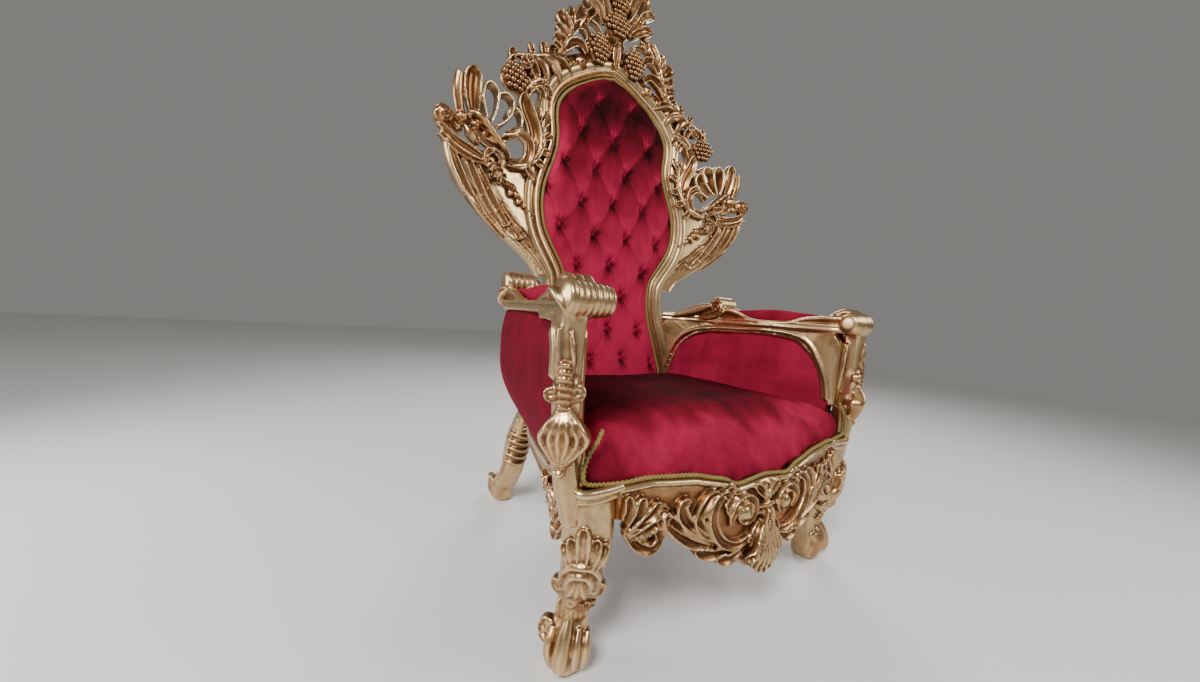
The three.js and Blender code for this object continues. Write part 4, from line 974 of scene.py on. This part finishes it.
def makeArm():
    c = Carving()
    makeRoll(c)
    makePost(c)
    rings = []
    for y in np.linspace(-392, 250, 120):
        place = acrossArm(y)
        half = table(armHalf, y)
        rim = arm["railZ"] + 24 + table(armRim, y)
        low = arm["railZ"]
        right = [(half - 22, rim - 14), (half - 17, rim - 4), (half - 13, rim), (half - 9, rim - 3),
                 (half - 7, rim - 7), (half - 4, rim - 3), (half, rim - 5), (half + 1, rim - 10),
                 (half - 3, rim - 15), (half - 7, mix(rim - 15, low, 0.5)), (half - 6, low + 2),
                 (half - 1, low), (half + 1, low - 4), (half - 2, low - 8), (half, low - 12),
                 (half + 2, low - 16), (half - 1, low - 21), (half - 6, low - 25), (half - 14, low - 25)]
        rings.append([place(a, z) for a, z in right] + [place(-a, z) for a, z in reversed(right)])
    shades = [0, 0, 0, 0.1, 0.6, 0, 0, 0.5, 0.9, 1.0, 0.8, 0.1, 0, 0.5, 0.1, 0, 0.1, 0.5, 0.9]
    c.loft(rings, (shades + shades[::-1]) * len(rings))
    # twin beads that turn down into the edge of the post
    for gap, wide in ((0, 5), (9, 4)):
        c.tube([(armX(-240) + 38, -240, 690 - gap), (armX(-300) + 36, -300, 690 - gap),
                (476, -334 + gap * 0.4, 684 - gap), (489, -356 + gap, 664 - gap), (490, -366 + gap, 630),
                (490, -368 + gap, 580)], wide, 8, 36, flat=1.3, tone=0.1)
    # ribbed curl behind the saddle
    rings = []
    for i in range(57):
        t = i / 56
        x = armX(66) + 44 - 88 * t
        r = 27 + 4.5 * abs(math.sin(math.pi * 6 * t)) ** 0.6 - 8 * max(0, abs(2 * t - 1) - 0.85) / 0.15
        rings.append([(x, 66 + r * cosine, arm["railZ"] + 44 + r * sine) for cosine, sine in circle(24)])
    c.loft(rings, 0.1)
    c.scroll([(armX(20) + 40, 20, 742), (armX(60) + 46, 60, 726), (armX(110) + 40, 110, 700)], 14, 12, 16,
             (1, 0, 0.2), tone=0.3)
    c.scroll([(armX(30) - 38, 24, 740), (armX(60) - 40, 70, 722), (armX(130) - 32, 130, 706)], 13, 12, 16,
             (-1, -0.3, 0.2), tone=0.3)
    # leaf that rises to a scroll on the inner end of that curl
    c.ridge([(armX(214) - 24, 214, 708), (armX(170) - 30, 170, 724), (armX(124) - 36, 124, 742),
             (armX(84) - 42, 84, 756)], 19, 15, 22, (-1, 0, 0.5), tip=0.35, swell=0.65, tone=0.8)
    c.volute(lambda dx, dz: (armX(60) - 44, 58 + dx, 744 + dz), 23, 1.4, 0.6, 8, 10, 10, (-1, 0, 0), 0.7)
    # moulding that frames the inner pad
    for gap, wide in ((0, 6), (11, 5)):
        inner = [(-348 + gap, 486), (-340 + gap, 540), (-316 + gap, 598), (-284 + gap, 648 - gap),
                 (-236, 672 - gap), (-140, 680 - gap), (-20, 678 - gap), (90, 672 - gap),
                 (160 - gap, 652 - gap), (196 - gap, 610 - gap), (214 - gap, 540), (224 - gap, 480)]
        c.tube([(armX(y) - 31 + (3 if gap else 0), y, z) for y, z in inner], wide, 8, 90, flat=1.3, tone=0.1)
    c.scroll([(448, -372, 660), (444, -366, 600), (446, -360, 540), (450, -356, 480)], 14, 12, 14,
             (-1, -0.2, 0), tip=0.7, tone=0.3)
    # gilded field between that moulding and the rail
    curve = smoothPath([(-350, 470), (-342, 540), (-318, 598), (-286, 648), (-236, 672), (-140, 680),
                        (-20, 678), (90, 672), (160, 652), (196, 610), (214, 540), (226, 470)], 60)
    rings = []
    for i, (y, z) in enumerate(curve):
        ahead = unit(curve[min(i + 1, 60)] - curve[max(i - 1, 0)])
        outY, outZ = float(np.clip(y - ahead[1] * 70, -368, 244)), float(np.clip(z + ahead[0] * 70, 470, 700))
        rings.append([(armX(y) - 33, y, z), (armX(outY) - 30, outY, outZ), (armX(outY) - 10, outY, outZ),
                      (armX(y) - 10, y, z)])
    c.loft(rings, 0.75)
    # filling between post and cushion
    c.reed([(440, -386, 474), (438, -388, 420), (436, -388, 370)], 13, 8, 26, tip=0.9, tone=0.1)
    # pale border under the outer panel
    c.scroll([(470, -366, 480), (462, -350, 440), (452, -326, 402), (440, -290, 384), (432, -250, 378)], 10,
             11, 14, (1, -0.1, 0), tip=0.7, tone=0.1)
    carvePair("armFrame", c, "arm_frame")


makeArm()

# Height, middle and half sizes of the legs
frontLeg = [(0, 412, -338, 24, 26), (10, 412, -340, 33, 35), (45, 413, -342, 38, 38),
            (82, 409, -343, 34, 33), (112, 405, -342, 28, 27), (150, 405, -350, 31, 29),
            (205, 404, -364, 37, 36), (265, 402, -372, 42, 43), (325, 402, -370, 44, 44),
            (372, 402, -364, 46, 42)]
rearLeg = [(0, 305, 408, 28, 40), (10, 305, 412, 35, 52), (42, 304, 415, 37, 58), (82, 302, 372, 35, 52),
           (128, 300, 322, 31, 38), (190, 296, 308, 36, 42), (250, 290, 296, 38, 48), (320, 282, 262, 36, 44),
           (372, 274, 236, 34, 36)]


def legAt(stack, z):
    return [table([(row[0], row[k]) for row in stack], z) for k in (1, 2, 3, 4)]


def legBody(c, stack, tone):
    rings = []
    for z in np.linspace(0, 372, 72):
        x, y, halfX, halfY = legAt(stack, z)
        rings.append(squareRing(x, y, z, halfX, halfY, 36, 3.4, 0.5))
    c.loft(rings, tone)


def makeFrontLeg():
    c = Carving()
    legBody(c, frontLeg, 0.1)

    def at(across, z, out):
        x, y, halfX, halfY = legAt(frontLeg, z)
        size = 0.5 * (halfX + halfY)
        return onCorner((x, y), across, z, size * (1.12 - 0.35 * (across / size) ** 2) + out)

    def reed(points, wide, high, profile="reed", **more):
        c.ridge(placed(at, points), wide, high, lift=cornerLift, profile=profile, **more)

    # moulding under the gimp
    for z, out, tone, radius in ((383, 3, 0.0, 9), (367, 0, 0.1, 5)):
        c.tube([(448 + out * 0.4, -330, z), (447 + out * 0.4, -392, z), (436, -406 - out, z - 2),
                (404, -408 - out, z - 3), (356, -408 - out, z)], radius, 8, 40, tone=tone)
    # shell of hollow niches, each with a bright rib
    for across, high, low, half in [(0, 322, 250, 13), (-23, 300, 252, 10), (24, 302, 250, 11),
                                    (40, 292, 246, 8), (-38, 286, 250, 7)]:
        niche = placed(at, [(across * 0.55, low - 4, -3), (across * 0.85, mix(low, high, 0.5), 1),
                            (across, high, -2)])
        c.petal(niche, half, 11, 14, 0.3, 0.55, lift=cornerLift, contrast=0.8)
        reed([(across * 0.6, low, -1), (across * 0.85, mix(low, high, 0.5), 2),
              (across * 0.96, high - 10, 1)], half * 0.3, 8, tip=0.4, tone=0.2, step=3)
    # crescents over a tongue
    for width, top, high, out in [(36, 250, 13, 0), (24, 232, 12, 2)]:
        reed([(-width, top - 46, -4), (-width * 0.9, top - 22, 0), (-width * 0.5, top - 4, out),
              (0, top, out + 2), (width * 0.5, top - 4, out), (width * 0.9, top - 22, 0),
              (width, top - 46, -4)], 8, high, tip=0.55, tone=0.2, sink=14)
    for side in (-1, 0, 1):
        reed([(side * 3, 218, -2), (side * 11, 194, 3), (side * 17, 172, -1)], 8, 10, tip=0.5, tone=0.3)
    for side in (-1, 1):
        c.volute(lambda dx, dz: at(side * 38 + dx * side, 186 + dz, -8), 17, 1.4, 1.8, 6, 10, 12,
                 cornerLift, 0.3)
    # ring boss and the band round the shaft
    c.tube([at(7 * math.cos(k * math.pi / 4) - 6, 158 + 8 * math.sin(k * math.pi / 4), 1)
            for k in range(8)], 3.4, 8, 24, True, 1.2, 0.3)
    for k in range(-3, 4):
        reed([(k * 10, 150, -4), (k * 9, 130, -3), (k * 8.5, 112, -3)], 5, 6, tip=0.5, tone=0.35)
    # jagged split across the front
    split = [(6, 158), (14, 148), (22, 154), (32, 146), (42, 150)]
    for (x, z), (nextX, nextZ) in zip(split, split[1:]):
        for edge, middle in ((5, 6), (-6, -5)):
            reed([(x, z + edge, -3), (mix(x, nextX, 0.5), mix(z, nextZ, 0.5) + middle, -1),
                  (nextX, nextZ + edge, -3)], 3.4, 6, profile="blade", tone=0.6, step=3)
    # toes and side volutes of the foot
    reed([(-4, 118, -2), (-5, 84, 6), (-6, 44, 6), (-5, 8, -10)], 15, 14, tip=0.55, tone=0.15, sink=20)
    for across, top in ((19, 100), (36, 92), (-30, 96)):
        reed([(across, top, -4), (across * 1.08, 62, 2), (across * 0.95, 10, -12)], 10, 12, tip=0.5,
             tone=0.25, sink=18)
    c.volute(lambda dx, dz: at(-40 + dx, 78 + dz, -6), 20, 1.4, 1.2, 6, 10, 12, cornerLift, 0.3)
    carvePair("frontLeg", c, "front_leg")


def makeRearLeg():
    c = Carving()
    legBody(c, rearLeg, 0.15)

    def outer(y, z, out):
        x, _, halfX, _ = legAt(rearLeg, z)
        return (x + halfX + out, y, z)

    def front(across, z, out):
        edge = table([(row[0], row[2] - row[4]) for row in rearLeg], z)
        return (legAt(rearLeg, z)[0] + across, edge - out, z)

    # pale strip down the outer face, notches on the front edge
    c.reed(placed(outer, [(248, 330, -3), (272, 260, -2), (300, 190, -2), (340, 120, -2), (400, 60, -2)]),
           9, 10, 14, (1, 0, 0), 0.7, tone=0.0)
    for k in range(5):
        z = 276 - k * 25
        x, y, halfX, halfY = legAt(rearLeg, z)
        c.reed([(x - halfX, y - halfY * 0.7, z + 6), (x, y - halfY - 1, z - 4),
                (x + halfX, y - halfY * 0.7, z + 6), (x + halfX + 2, y - halfY * 0.1, z + 12)], 8, 11,
               tone=0.5)
    for hand in (-1, 1):
        c.volute(lambda dx, dz: (304 + hand * 33, 424 + dx, 50 + dz), 34, 1.6, 0.4, 7, 10, 10, (hand, 0, 0),
                 0.5)
    c.acanthus(front, [(0, 350), (0, 320), (0, 286)], 26, 3, 12, 0)
    carvePair("rearLeg", c, "rear_leg")


makeFrontLeg()
makeRearLeg()

# Upper and lower edge of the apron from the middle out
railTop = [(0, 366), (88, 357), (124, 372), (205, 390), (300, 396), (345, 390), (380, 386), (430, 394)]
railLow = [(0, 148), (34, 152), (76, 178), (118, 208), (144, 236), (190, 262), (240, 305), (275, 318),
           (308, 312), (332, 290), (352, 312)]


def makeFrontRail():
    c = Carving()
    rings = []
    for x in np.linspace(-364, 364, 151):
        high, low = table(railTop, abs(x)) - 4, table(railLow, abs(x)) + 6
        rings.append(placed(onRail, [(x, z, out) for z, out in (
            (high, 3), (high - 3, 9), (high - 7, 10), (high - 11, 7), (high - 14, 1), (high - 20, 3),
            (mix(high, low, 0.45), 2), (low + 4, 2), (low, -4), (low + 4, -22), (high, -30))]))
    c.loft(rings, ([0.1] * 5 + [0.85] * 6) * len(rings))

    def scroll(path, wide, high, out=3, profile="scroll", **more):
        c.ridge(placed(onRail, path, out), wide, high, profile=profile, **more)

    def petals(rows, out=3, *more):
        for path, half, high, sink in rows:
            c.petal(placed(onRail, path, out), half, high, sink, *more)

    # volute with a round boss, and the bar that joins the pair
    c.volute(lambda dx, dz: onRail(70 + dx, 297 + dz, 5), 42, 1.25, -0.6, 11, 20, 10, tone=0.7)
    c.ball(onRail(70, 297, 8), 17, (1, 0.9, 1), 0.4, 9, 14)
    # C-scroll and the long leaf beneath it
    scroll([(30, 246), (78, 228), (132, 246), (162, 290), (158, 330), (132, 346), (116, 330), (128, 316)],
           13, 20, tip=0.5, tone=0.75)
    petals([([(168, 262), (196, 300), (178, 338), (150, 356)], 15, 16, 14),
            ([(160, 250), (214, 290), (238, 330), (222, 352)], 15, 15, 14),
            ([(150, 240), (214, 266), (262, 306), (274, 330)], 17, 17, 14)])
    scroll([(150, 236), (206, 256), (256, 288), (286, 318), (280, 336), (262, 330)], 11, 16, tip=0.5)
    petals([([(112, 222), (160, 222), (198, 240)], 13, 14, 14),
            ([(70, 214), (104, 200), (140, 210)], 13, 14, 14), ([(116, 300), (118, 322), (100, 344)], 9, 12,
                                                                12)])
    scroll([(96, 352), (112, 362), (140, 352)], 8, 10, profile="reed", tone=0.8)
    # spray at the end over a hanging round lobe
    petals([([(352, 300), (330, 330), (322, 366)], 13, 15, 14),
            ([(346, 296), (306, 326), (286, 354)], 13, 15, 14),
            ([(340, 290), (296, 306), (262, 322)], 12, 15, 14),
            ([(356, 320), (350, 346), (350, 370)], 10, 15, 14)])
    scroll([(352, 300), (328, 272), (300, 262), (282, 280), (292, 300)], 12, 17, tip=0.6)
    c.ball(onRail(312, 284, 2), 15, (1, 0.8, 1), 0.8, 8, 12)
    c.mirror()
    scroll([(-34, 300), (-12, 304), (12, 304), (34, 300)], 8, 12, 10, profile="reed", tone=0.6)
    scroll([(-34, 286), (0, 288), (34, 286)], 6, 10, 8, profile="reed", tone=0.6)
    # hanging leaf: broad fluted lobes below a hood
    petals([([(k * 4, 262), (k * 12, 208), (k * 19, 150 + 5 * k * k)], 12.5, 17, 16) for k in range(-3, 4)],
           (8, 18, 8), 0.85, 0.4)
    for k in (-1, 1):
        scroll([(k * 10, 268), (k * 30, 258), (k * 44, 232), (k * 34, 214)], 11, 18, tip=0.5)
    petals([([(0, 300), (0, 276), (0, 246)], 15, 18, 14)], 12)
    petals([([(0, 318), (k * 20, 336), (k * 42, 352)], 11, 13, 12) for k in (-1, 1)]
           + [([(0, 316), (0, 336), (0, 354)], 11, 13, 12)], 4)
    carve("frontRail", c, "front_rail")


makeFrontRail()

sidePlan = [(-320, 426), (-240, 414), (-120, 396), (0, 370), (120, 330), (215, 286)]
sideLow = [(-330, 250), (-290, 262), (-240, 300), (-120, 322), (0, 326), (120, 322), (215, 312)]


def makeSideRail():
    c = Carving()
    rings = []
    for y in np.linspace(-328, 215, 66):
        x, low = table(sidePlan, y), table(sideLow, y)
        rings.append([(x + out, y, z) for out, z in ((-26, 370), (3, 370), (7, 366), (8, 356), (4, 349),
                                                     (0, 344), (0, low + 10), (4, low + 4), (2, low),
                                                     (-22, low + 4))])
    c.loft(rings, ([0.1] * 5 + [0.75] * 5) * len(rings))
    aside = (0.98, 0.2, 0)

    def face(y, z, out):
        return (table(sidePlan, y) + out, y, z)

    c.acanthus(face, [(-318, 262), (-300, 306), (-262, 336)], 34, 4, 14, 2, lift=aside)
    c.acanthus(face, [(-290, 290), (-240, 312), (-190, 340)], 24, 3, 12, 2, lift=aside)
    for path, wide in (([(-322, 340, 4), (-306, 356, 4), (-286, 344, 4), (-292, 326, 4)], 9),
                       ([(-316, 280, 3), (-300, 250, 4), (-276, 258, 4), (-282, 280, 4)], 10)):
        c.scroll(placed(face, path), wide, 12, lift=aside, tone=0.7)
    carvePair("sideRail", c, "side_rail")


makeSideRail()
backRail = bpy.data.objects["back_rail"]
backRail.data.materials.clear()
backRail.data.materials.append(gilding)
print("carving done")

cloth = {"frames": 20, "pressure": 4.0, "spare": 0.03, "stiffness": 0.1, "voxel": 7, "cap": 9}


# Cloth swells a cover and wrinkles it between the places where it is held
def swell(piece, held):
    applyModifier(piece, "REMESH", mode="VOXEL", voxel_size=cloth["voxel"] * mm, adaptivity=0)
    start = np.array([v.co for v in piece.data.vertices])
    pins = piece.vertex_groups.new(name="held")
    for i, co in enumerate(start):
        weight = held(*(co / mm))
        if weight > 0:
            pins.add([i], weight, "REPLACE")
    step = piece.modifiers.new("Cloth", "CLOTH")
    step.settings.use_pressure = True
    step.settings.uniform_pressure_force = cloth["pressure"]
    step.settings.vertex_group_mass = "held"
    step.settings.shrink_min = -cloth["spare"]
    step.settings.effector_weights.gravity = 0
    step.settings.bending_stiffness = cloth["stiffness"]
    step.point_cache.frame_start, step.point_cache.frame_end = 1, cloth["frames"]
    for tick in range(1, cloth["frames"] + 1):
        bpy.context.scene.frame_set(tick)
    shape = piece.evaluated_get(bpy.context.evaluated_depsgraph_get())
    away = np.array([v.co for v in shape.data.vertices]) - start
    size = np.maximum(np.linalg.norm(away, axis=1), 1e-9)
    piece.modifiers.remove(step)
    away *= np.minimum(1, cloth["cap"] * mm / size)[:, None]
    print(piece.name, "cloth moved", round(float(np.median(size)) / mm, 1), "to",
          round(float(size.max()) / mm, 1))
    piece.data.vertices.foreach_set("co", (start + away).ravel())
    piece.data.update()
    piece.vertex_groups.clear()
    bpy.context.scene.frame_set(1)


# A padded cover on its own solid; the brightness function given for it paints light and shade into the
# velvet, along with its pile direction
def makeSoft(name, rings, node, fill, napAndLight=lambda x, y, z: 0.5, held=None):
    c = Carving()
    c.loft(rings)
    piece = c.mesh(name)
    pick(piece)
    bpy.ops.object.mode_set(mode="EDIT")
    bpy.ops.mesh.select_all(action="SELECT")
    bpy.ops.mesh.quads_convert_to_tris()
    bpy.ops.mesh.normals_make_consistent(inside=False)
    bpy.ops.object.mode_set(mode="OBJECT")
    if held:
        swell(piece, held)
    store(piece, "napAndLight", [napAndLight(*(c / mm for c in v.co)) for v in piece.data.vertices])
    dress(piece, velvet, [node])


tuft = {"wide": 133, "tall": 224, "first": 1313, "deep": 30, "top": 1440, "buttonWidth": 11}


def padHalf(z, inset):
    return max(6, panelWidth(max(z, 500)) - inset)


# Hand tied buttons stray a little from their rows
def tuftShift(x, z):
    shiftX = 6 * math.sin(z / 71 + x / 90) + 4 * math.sin(z / 33)
    return shiftX, 7 * math.sin(x / 57 + 0.8) + 5 * math.sin(x / 31 + z / 120)


# Diamond buttoning: swollen cloth, deep wells at the buttons and soft pleats between them
def tuftHeight(x, z):
    shiftX, shiftZ = tuftShift(x, z)
    p, q = (x - shiftX) / tuft["wide"], (z - shiftZ - tuft["first"]) / tuft["tall"]
    a, b = p + q, p - q
    da, db = a - round(a), b - round(b)
    low, high = sorted((abs(da), abs(db)))
    near = max(0, min(1, (tuft["top"] + 60 - z) / 90))
    reach = math.hypot(da, db)
    well = math.exp(-reach / 0.115)
    pleat = math.exp(-low / 0.05) * (0.03 + 0.42 * math.exp(-high / 0.14))
    valley = math.exp(-low / 0.2) * 0.13
    gathers = 0.08 * math.cos(7 * math.atan2(da, db) + 5 * round(a)) * math.exp(-((reach - 0.14) / 0.09) ** 2)
    return 1 - near * (0.9 * well + pleat * 0.5 + valley - gathers)


# Velvet brightness on the back, darker towards the top, partly pile direction and partly painted light;
# painted highlight above and left of each button, painted shade below it, right of it and in its well, and a
# painted highlight along the left edge
def backNapAndLight(x, y, z):
    height = table([(440, 1.02), (700, 1.02), (900, 0.86), (1100, 0.66), (1240, 0.48), (1330, 0.24),
                    (1420, 0.04)], z)
    slope = tuftHeight(x, z + 9) - tuftHeight(x, z - 9)
    side = tuftHeight(x + 9, z) - tuftHeight(x - 9, z)
    edge = math.exp(-((x + panelWidth(max(500, z)) - 26) / 20) ** 2) * table([(900, 0.1), (1150, 0.45),
                                                                              (1400, 0.3)], z)
    return max(0.05, height + 2.1 * slope - 0.6 * side - 0.3 * (1 - tuftHeight(x, z)) ** 2 + edge)


def makeBackPad():
    rows, columns = ((300, 150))
    rings = []
    for i in range(rows + 1):
        z = mix(back["bottom"] + 3, 1532, i / rows)
        half = padHalf(z, 5)
        ring = []
        for j in range(columns + 1):
            u = j / columns * 2 - 1
            x = half * u
            edge = min(1, (1 - u * u) * 2.4) ** 0.6 * max(0, min(1, (1536 - z) / 80)) ** 0.6
            ring.append(onBack(x, z, 2 + edge * (3 + tuft["deep"] * tuftHeight(x, z))))
        for u in np.linspace(1, -1, 9):
            ring.append(onBack(half * u, z, -12))
        rings.append(ring)
    makeSoft("backPad", rings, "back_pad", 0.85, backNapAndLight)


def makeButtons():
    c = Carving()
    for k in range(-2, 9):
        z = tuft["first"] - k * tuft["tall"] / 2
        for j in range(-3, 4):
            x = (j + (0.5 if k % 2 else 0)) * tuft["wide"]
            if abs(x) > padHalf(z, 20) - 24 or z > tuft["top"] or z < 520:
                continue
            shiftX, shiftZ = tuftShift(x, z)
            c.ball(onBack(x + shiftX, z + shiftZ, 11), tuft["buttonWidth"], (1, 0.55, 1), rows=10, across=18)
    piece = c.mesh("backButtons")
    # painted light: the buttons are darker higher up, as the pad around them
    store(piece, "napAndLight", [table([(500, 0.75), (1200, 0.55), (1450, 0.35)], v[2]) for v in c.verts])
    dress(piece, velvet)


def makeOutsideBack():
    rings = []
    for i in range(61):
        z = mix(back["bottom"] + 3, 1522, i / 60)
        half = padHalf(z, 8)
        ring = [onBack(half * u, z, -17) for u in np.linspace(-1, 1, 21)]
        ring += [onBack(half * u, z, -22 - 4 * (1 - u ** 6)) for u in np.linspace(1, -1, 21)]
        rings.append(ring)
    makeSoft("outsideBack", rings, "outside_back", 0.9)


makeBackPad()
makeButtons()
makeOutsideBack()
print("back upholstered")

seat = {"crown": 488, "low": 374, "half": 424, "drop": 34}
seatRear = [(0, 186), (110, 186), (200, 186), (258, 184), (290, 138), (316, 80), (336, 0), (354, -120),
            (370, -220), (388, -300), (412, -352), (424, -364)]


# Seat velvet brightness: a painted highlight along the front roll with a wavy edge, fading to painted shade
# over the top and the rear
def seatNapAndLight(x, y, z):
    deep = y - railY(x) + 16 * math.sin(x / 58) + 11 * math.sin(x / 23 + 1) + 8 * math.sin(x / 11)
    return table([(-10, 0.46), (10, 0.60), (40, 0.74), (75, 0.78), (110, 0.50), (150, 0.30), (220, 0.12),
                  (520, 0.03)], deep)


def seatHeld(x, y, z):
    edge = min(y - railY(x), table(seatRear, abs(x)) - y, seat["half"] - abs(x))
    return 1.0 if z < seat["low"] + 14 or edge < 10 else max(0, 0.4 - edge / 100)


def makeSeat():
    rings = []
    for x in np.linspace(-seat["half"], seat["half"], 121):
        a = abs(x)
        rear, front = table(seatRear, a), railY(x) + 10
        low = table(railTop, a) - 5
        crown = seat["crown"] - seat["drop"] * (a / 400) ** 4
        if a > 396:
            crown = mix(crown, 438, (a - 396) / 28)
        ring = []
        for k in range(41):
            t = (k / 40) ** 1.5
            rise = (1 - (1 - min(1, t / 0.22)) ** 2.4) * (1 - 0.25 * max(0, (t - 0.9) / 0.1) ** 2)
            bulge = -5 * math.sin(math.pi * min(1, rise / 0.9)) if t < 0.2 else 0
            ring.append((x, front + (rear - front) * t + bulge, low + (crown - low) * rise))
        bed = max(seat["low"], table(railTop, a) - 4)
        ring += [(x, rear, bed), (x, min(front + 24, rear - 6), bed)]
        rings.append(ring)
    makeSoft("seatCushion", rings, "seat_cushion", 0.8, seatNapAndLight, seatHeld)


makeSeat()
print("seat upholstered")
armPanel = {"low": 374, "padLow": 452, "high": 686, "bellyZ": 566, "belly": 44, "shell": 14}


def armPanelRings(outside):
    rings = []
    for y in np.linspace(-348, 250, 80):
        along = (y + 348) / 598
        full = math.sin(math.pi * min(0.97, max(0.03, along))) ** 0.5
        middle = armX(y) + 2
        foot = table(sidePlan, y) + 6 - middle

        def sweep(z):
            return min(1, (z - armPanel["low"]) / (armPanel["bellyZ"] - armPanel["low"]))

        def skin(z):
            return mix(foot, armPanel["belly"] * full, math.sin(math.pi / 2 * sweep(z)))

        def core(z):
            return min(skin(z) - 5, mix(foot - armPanel["shell"], 1, sweep(z) ** 1.3))

        ring = []
        if outside:
            top = max(24, armPanel["belly"] * full - 12)
            for z in np.linspace(armPanel["low"], armPanel["high"], 26):
                t = max(0, (z - 610) / (armPanel["high"] - 610))
                ring.append((middle + mix(skin(z), top, t ** 2), y, z))
            ring += [(middle + core(z), y, z) for z in np.linspace(armPanel["high"], armPanel["low"], 12)]
        else:
            for v in np.linspace(0, 1, 19):
                z = mix(armPanel["padLow"], armPanel["high"], v)
                out = table([(0, 24), (0.3, 30), (0.6, 33), (0.9, 30 * full), (1, 24)], v)
                ring.append((middle + min(-max(16, out) + 2, core(z) - 14), y, z))
            ring += [(middle + core(z) - 2, y, z) for z in np.linspace(armPanel["high"], armPanel["padLow"],
                                                                       8)]
        rings.append(ring)
    return rings


# The flat pad let into the saddle of the arm
def armTopRings():
    rings = []
    for i in range(49):
        y = mix(-298, 20, i / 48)
        place = acrossArm(y)
        lowZ = arm["railZ"] + 22 + table(armRim, y) - 11
        end = math.sin(math.pi * mix(0.03, 0.97, i / 48)) ** 0.45
        high = mix(lowZ + 4, arm["railZ"] + 38, end)
        rings.append([place(-17, lowZ)] + [place(17 * -math.cos(a),
                                                 mix(lowZ, high, 0.5 + 0.5 * math.sin(a) ** 0.7))
                                           for a in np.linspace(0.02, math.pi - 0.02, 15)]
                     + [place(17, lowZ)])
    return rings


def makeArmSoft():
    # the last number paints light and shade: the outer panel darker, the inner pad and the top pad lighter,
    # as shaded and lit copies of one velvet
    covers = [("outerArmPanel", "outer_arm_panel_", armPanelRings(True), 0.9, 0.34),
              ("innerArmPad", "inner_arm_pad_", armPanelRings(False), 0.9, 0.72),
              ("armTopPad", "arm_top_pad_", armTopRings(), 0.85, 0.62)]
    for side, sign in (("right", 1), ("left", -1)):
        for name, node, rings, fill, shade in covers:
            makeSoft(name + side.title(), [[(x * sign, y, z) for x, y, z in ring] for ring in rings], node
                     + side, fill, lambda x, y, z: shade)


makeArmSoft()
print("arms upholstered")

cord = {"step": 2.4, "pitch": 9, "sides": 16, "back": 5.5, "seat": 5}


# Two twisted strands along a path
def rope(name, path, radius, node):
    path = np.array(path, float)
    length = lengthOf(path)
    print(name, "is", round(length), "mm long")
    line = smoothPath(path, int(length / cord["step"]))
    rings = []
    for i, at in enumerate(line):
        along = unit(line[min(i + 1, len(line) - 1)] - line[max(i - 1, 0)])
        side = unit(np.cross(along, (0, -1, 0)))
        out = unit(np.cross(side, along))
        twist = math.tau * i * cord["step"] / (cord["pitch"] * 2)
        ring = []
        for j in range(cord["sides"]):
            a = math.tau * j / cord["sides"]
            r = radius * (0.78 + 0.22 * math.cos(2 * (a - twist)))
            ring.append(at + side * (r * math.cos(a)) + out * (r * math.sin(a)))
        rings.append(ring)
    c = Carving()
    c.loft(rings)
    dress(c.mesh(name), gimp, [node])


def makeGimps():
    loop, away = panelLoop(60)
    half = [tuple(p - d * 7.5) for p, d in zip(loop, away)][:64]
    rope("backGimp", backRun([(-x, z) for x, z in reversed(half)] + half[1:], 12), cord["back"], "back_gimp")
    right = [(x, railY(x) + 1, table(railTop, x) + 1.5) for x in (0, 44, 88, 124, 160, 205, 260, 310, 352,
                                                                  390)]
    right += [(428, -401, 396), (438, -404, 412), (435, -403, 434), (426, -402, 453), (411, -401, 472),
              (400, -397, 490)]
    left = [(-x, y, z) for x, y, z in reversed(right[1:])]
    rope("seatGimp", left + right, cord["seat"], "seat_gimp")


makeGimps()
print("cords laid")

# Lamps: place, size and power; all look at the middle of the throne
stage = {"floor": (0.80, 0.79, 0.77, 1), "sky": (0.92, 0.89, 0.85, 1), "skyPower": 0.24, "look": 0.9,
         "lamps": [("key", (-2.4, -1.9, 3.1), 1.0, 150), ("fill", (2.0, -2.0, 2.45), 1.5, 55),
                   ("rim", (2.2, 2.2, 2.9), 1.6, 60), ("left", (-2.6, 0.9, 1.4), 1.2, 45)]}


def makeStage():
    bpy.ops.mesh.primitive_plane_add(size=14, location=(0, 3, 0))
    floor = bpy.context.object
    floor.name = "studioFloor"
    f = Finish("paleFloor")
    f.set(Base_Color=stage["floor"], Roughness=0.6)
    floor.data.materials.append(f.material)
    for name, place, size, power in stage["lamps"]:
        bpy.ops.object.light_add(type="AREA", location=place)
        lamp = bpy.context.object
        lamp.name = name
        lamp.data.size = size
        lamp.data.energy = power
        aim = Vector((0, 0, stage["look"])) - Vector(place)
        lamp.rotation_euler = aim.to_track_quat("-Z", "Y").to_euler()
    world = bpy.data.worlds.new("studio")
    bpy.context.scene.world = world
    world.use_nodes = True
    sky = world.node_tree.nodes["Background"]
    sky.inputs["Color"].default_value = stage["sky"]
    sky.inputs["Strength"].default_value = stage["skyPower"]


makeStage()
print("stage lit")
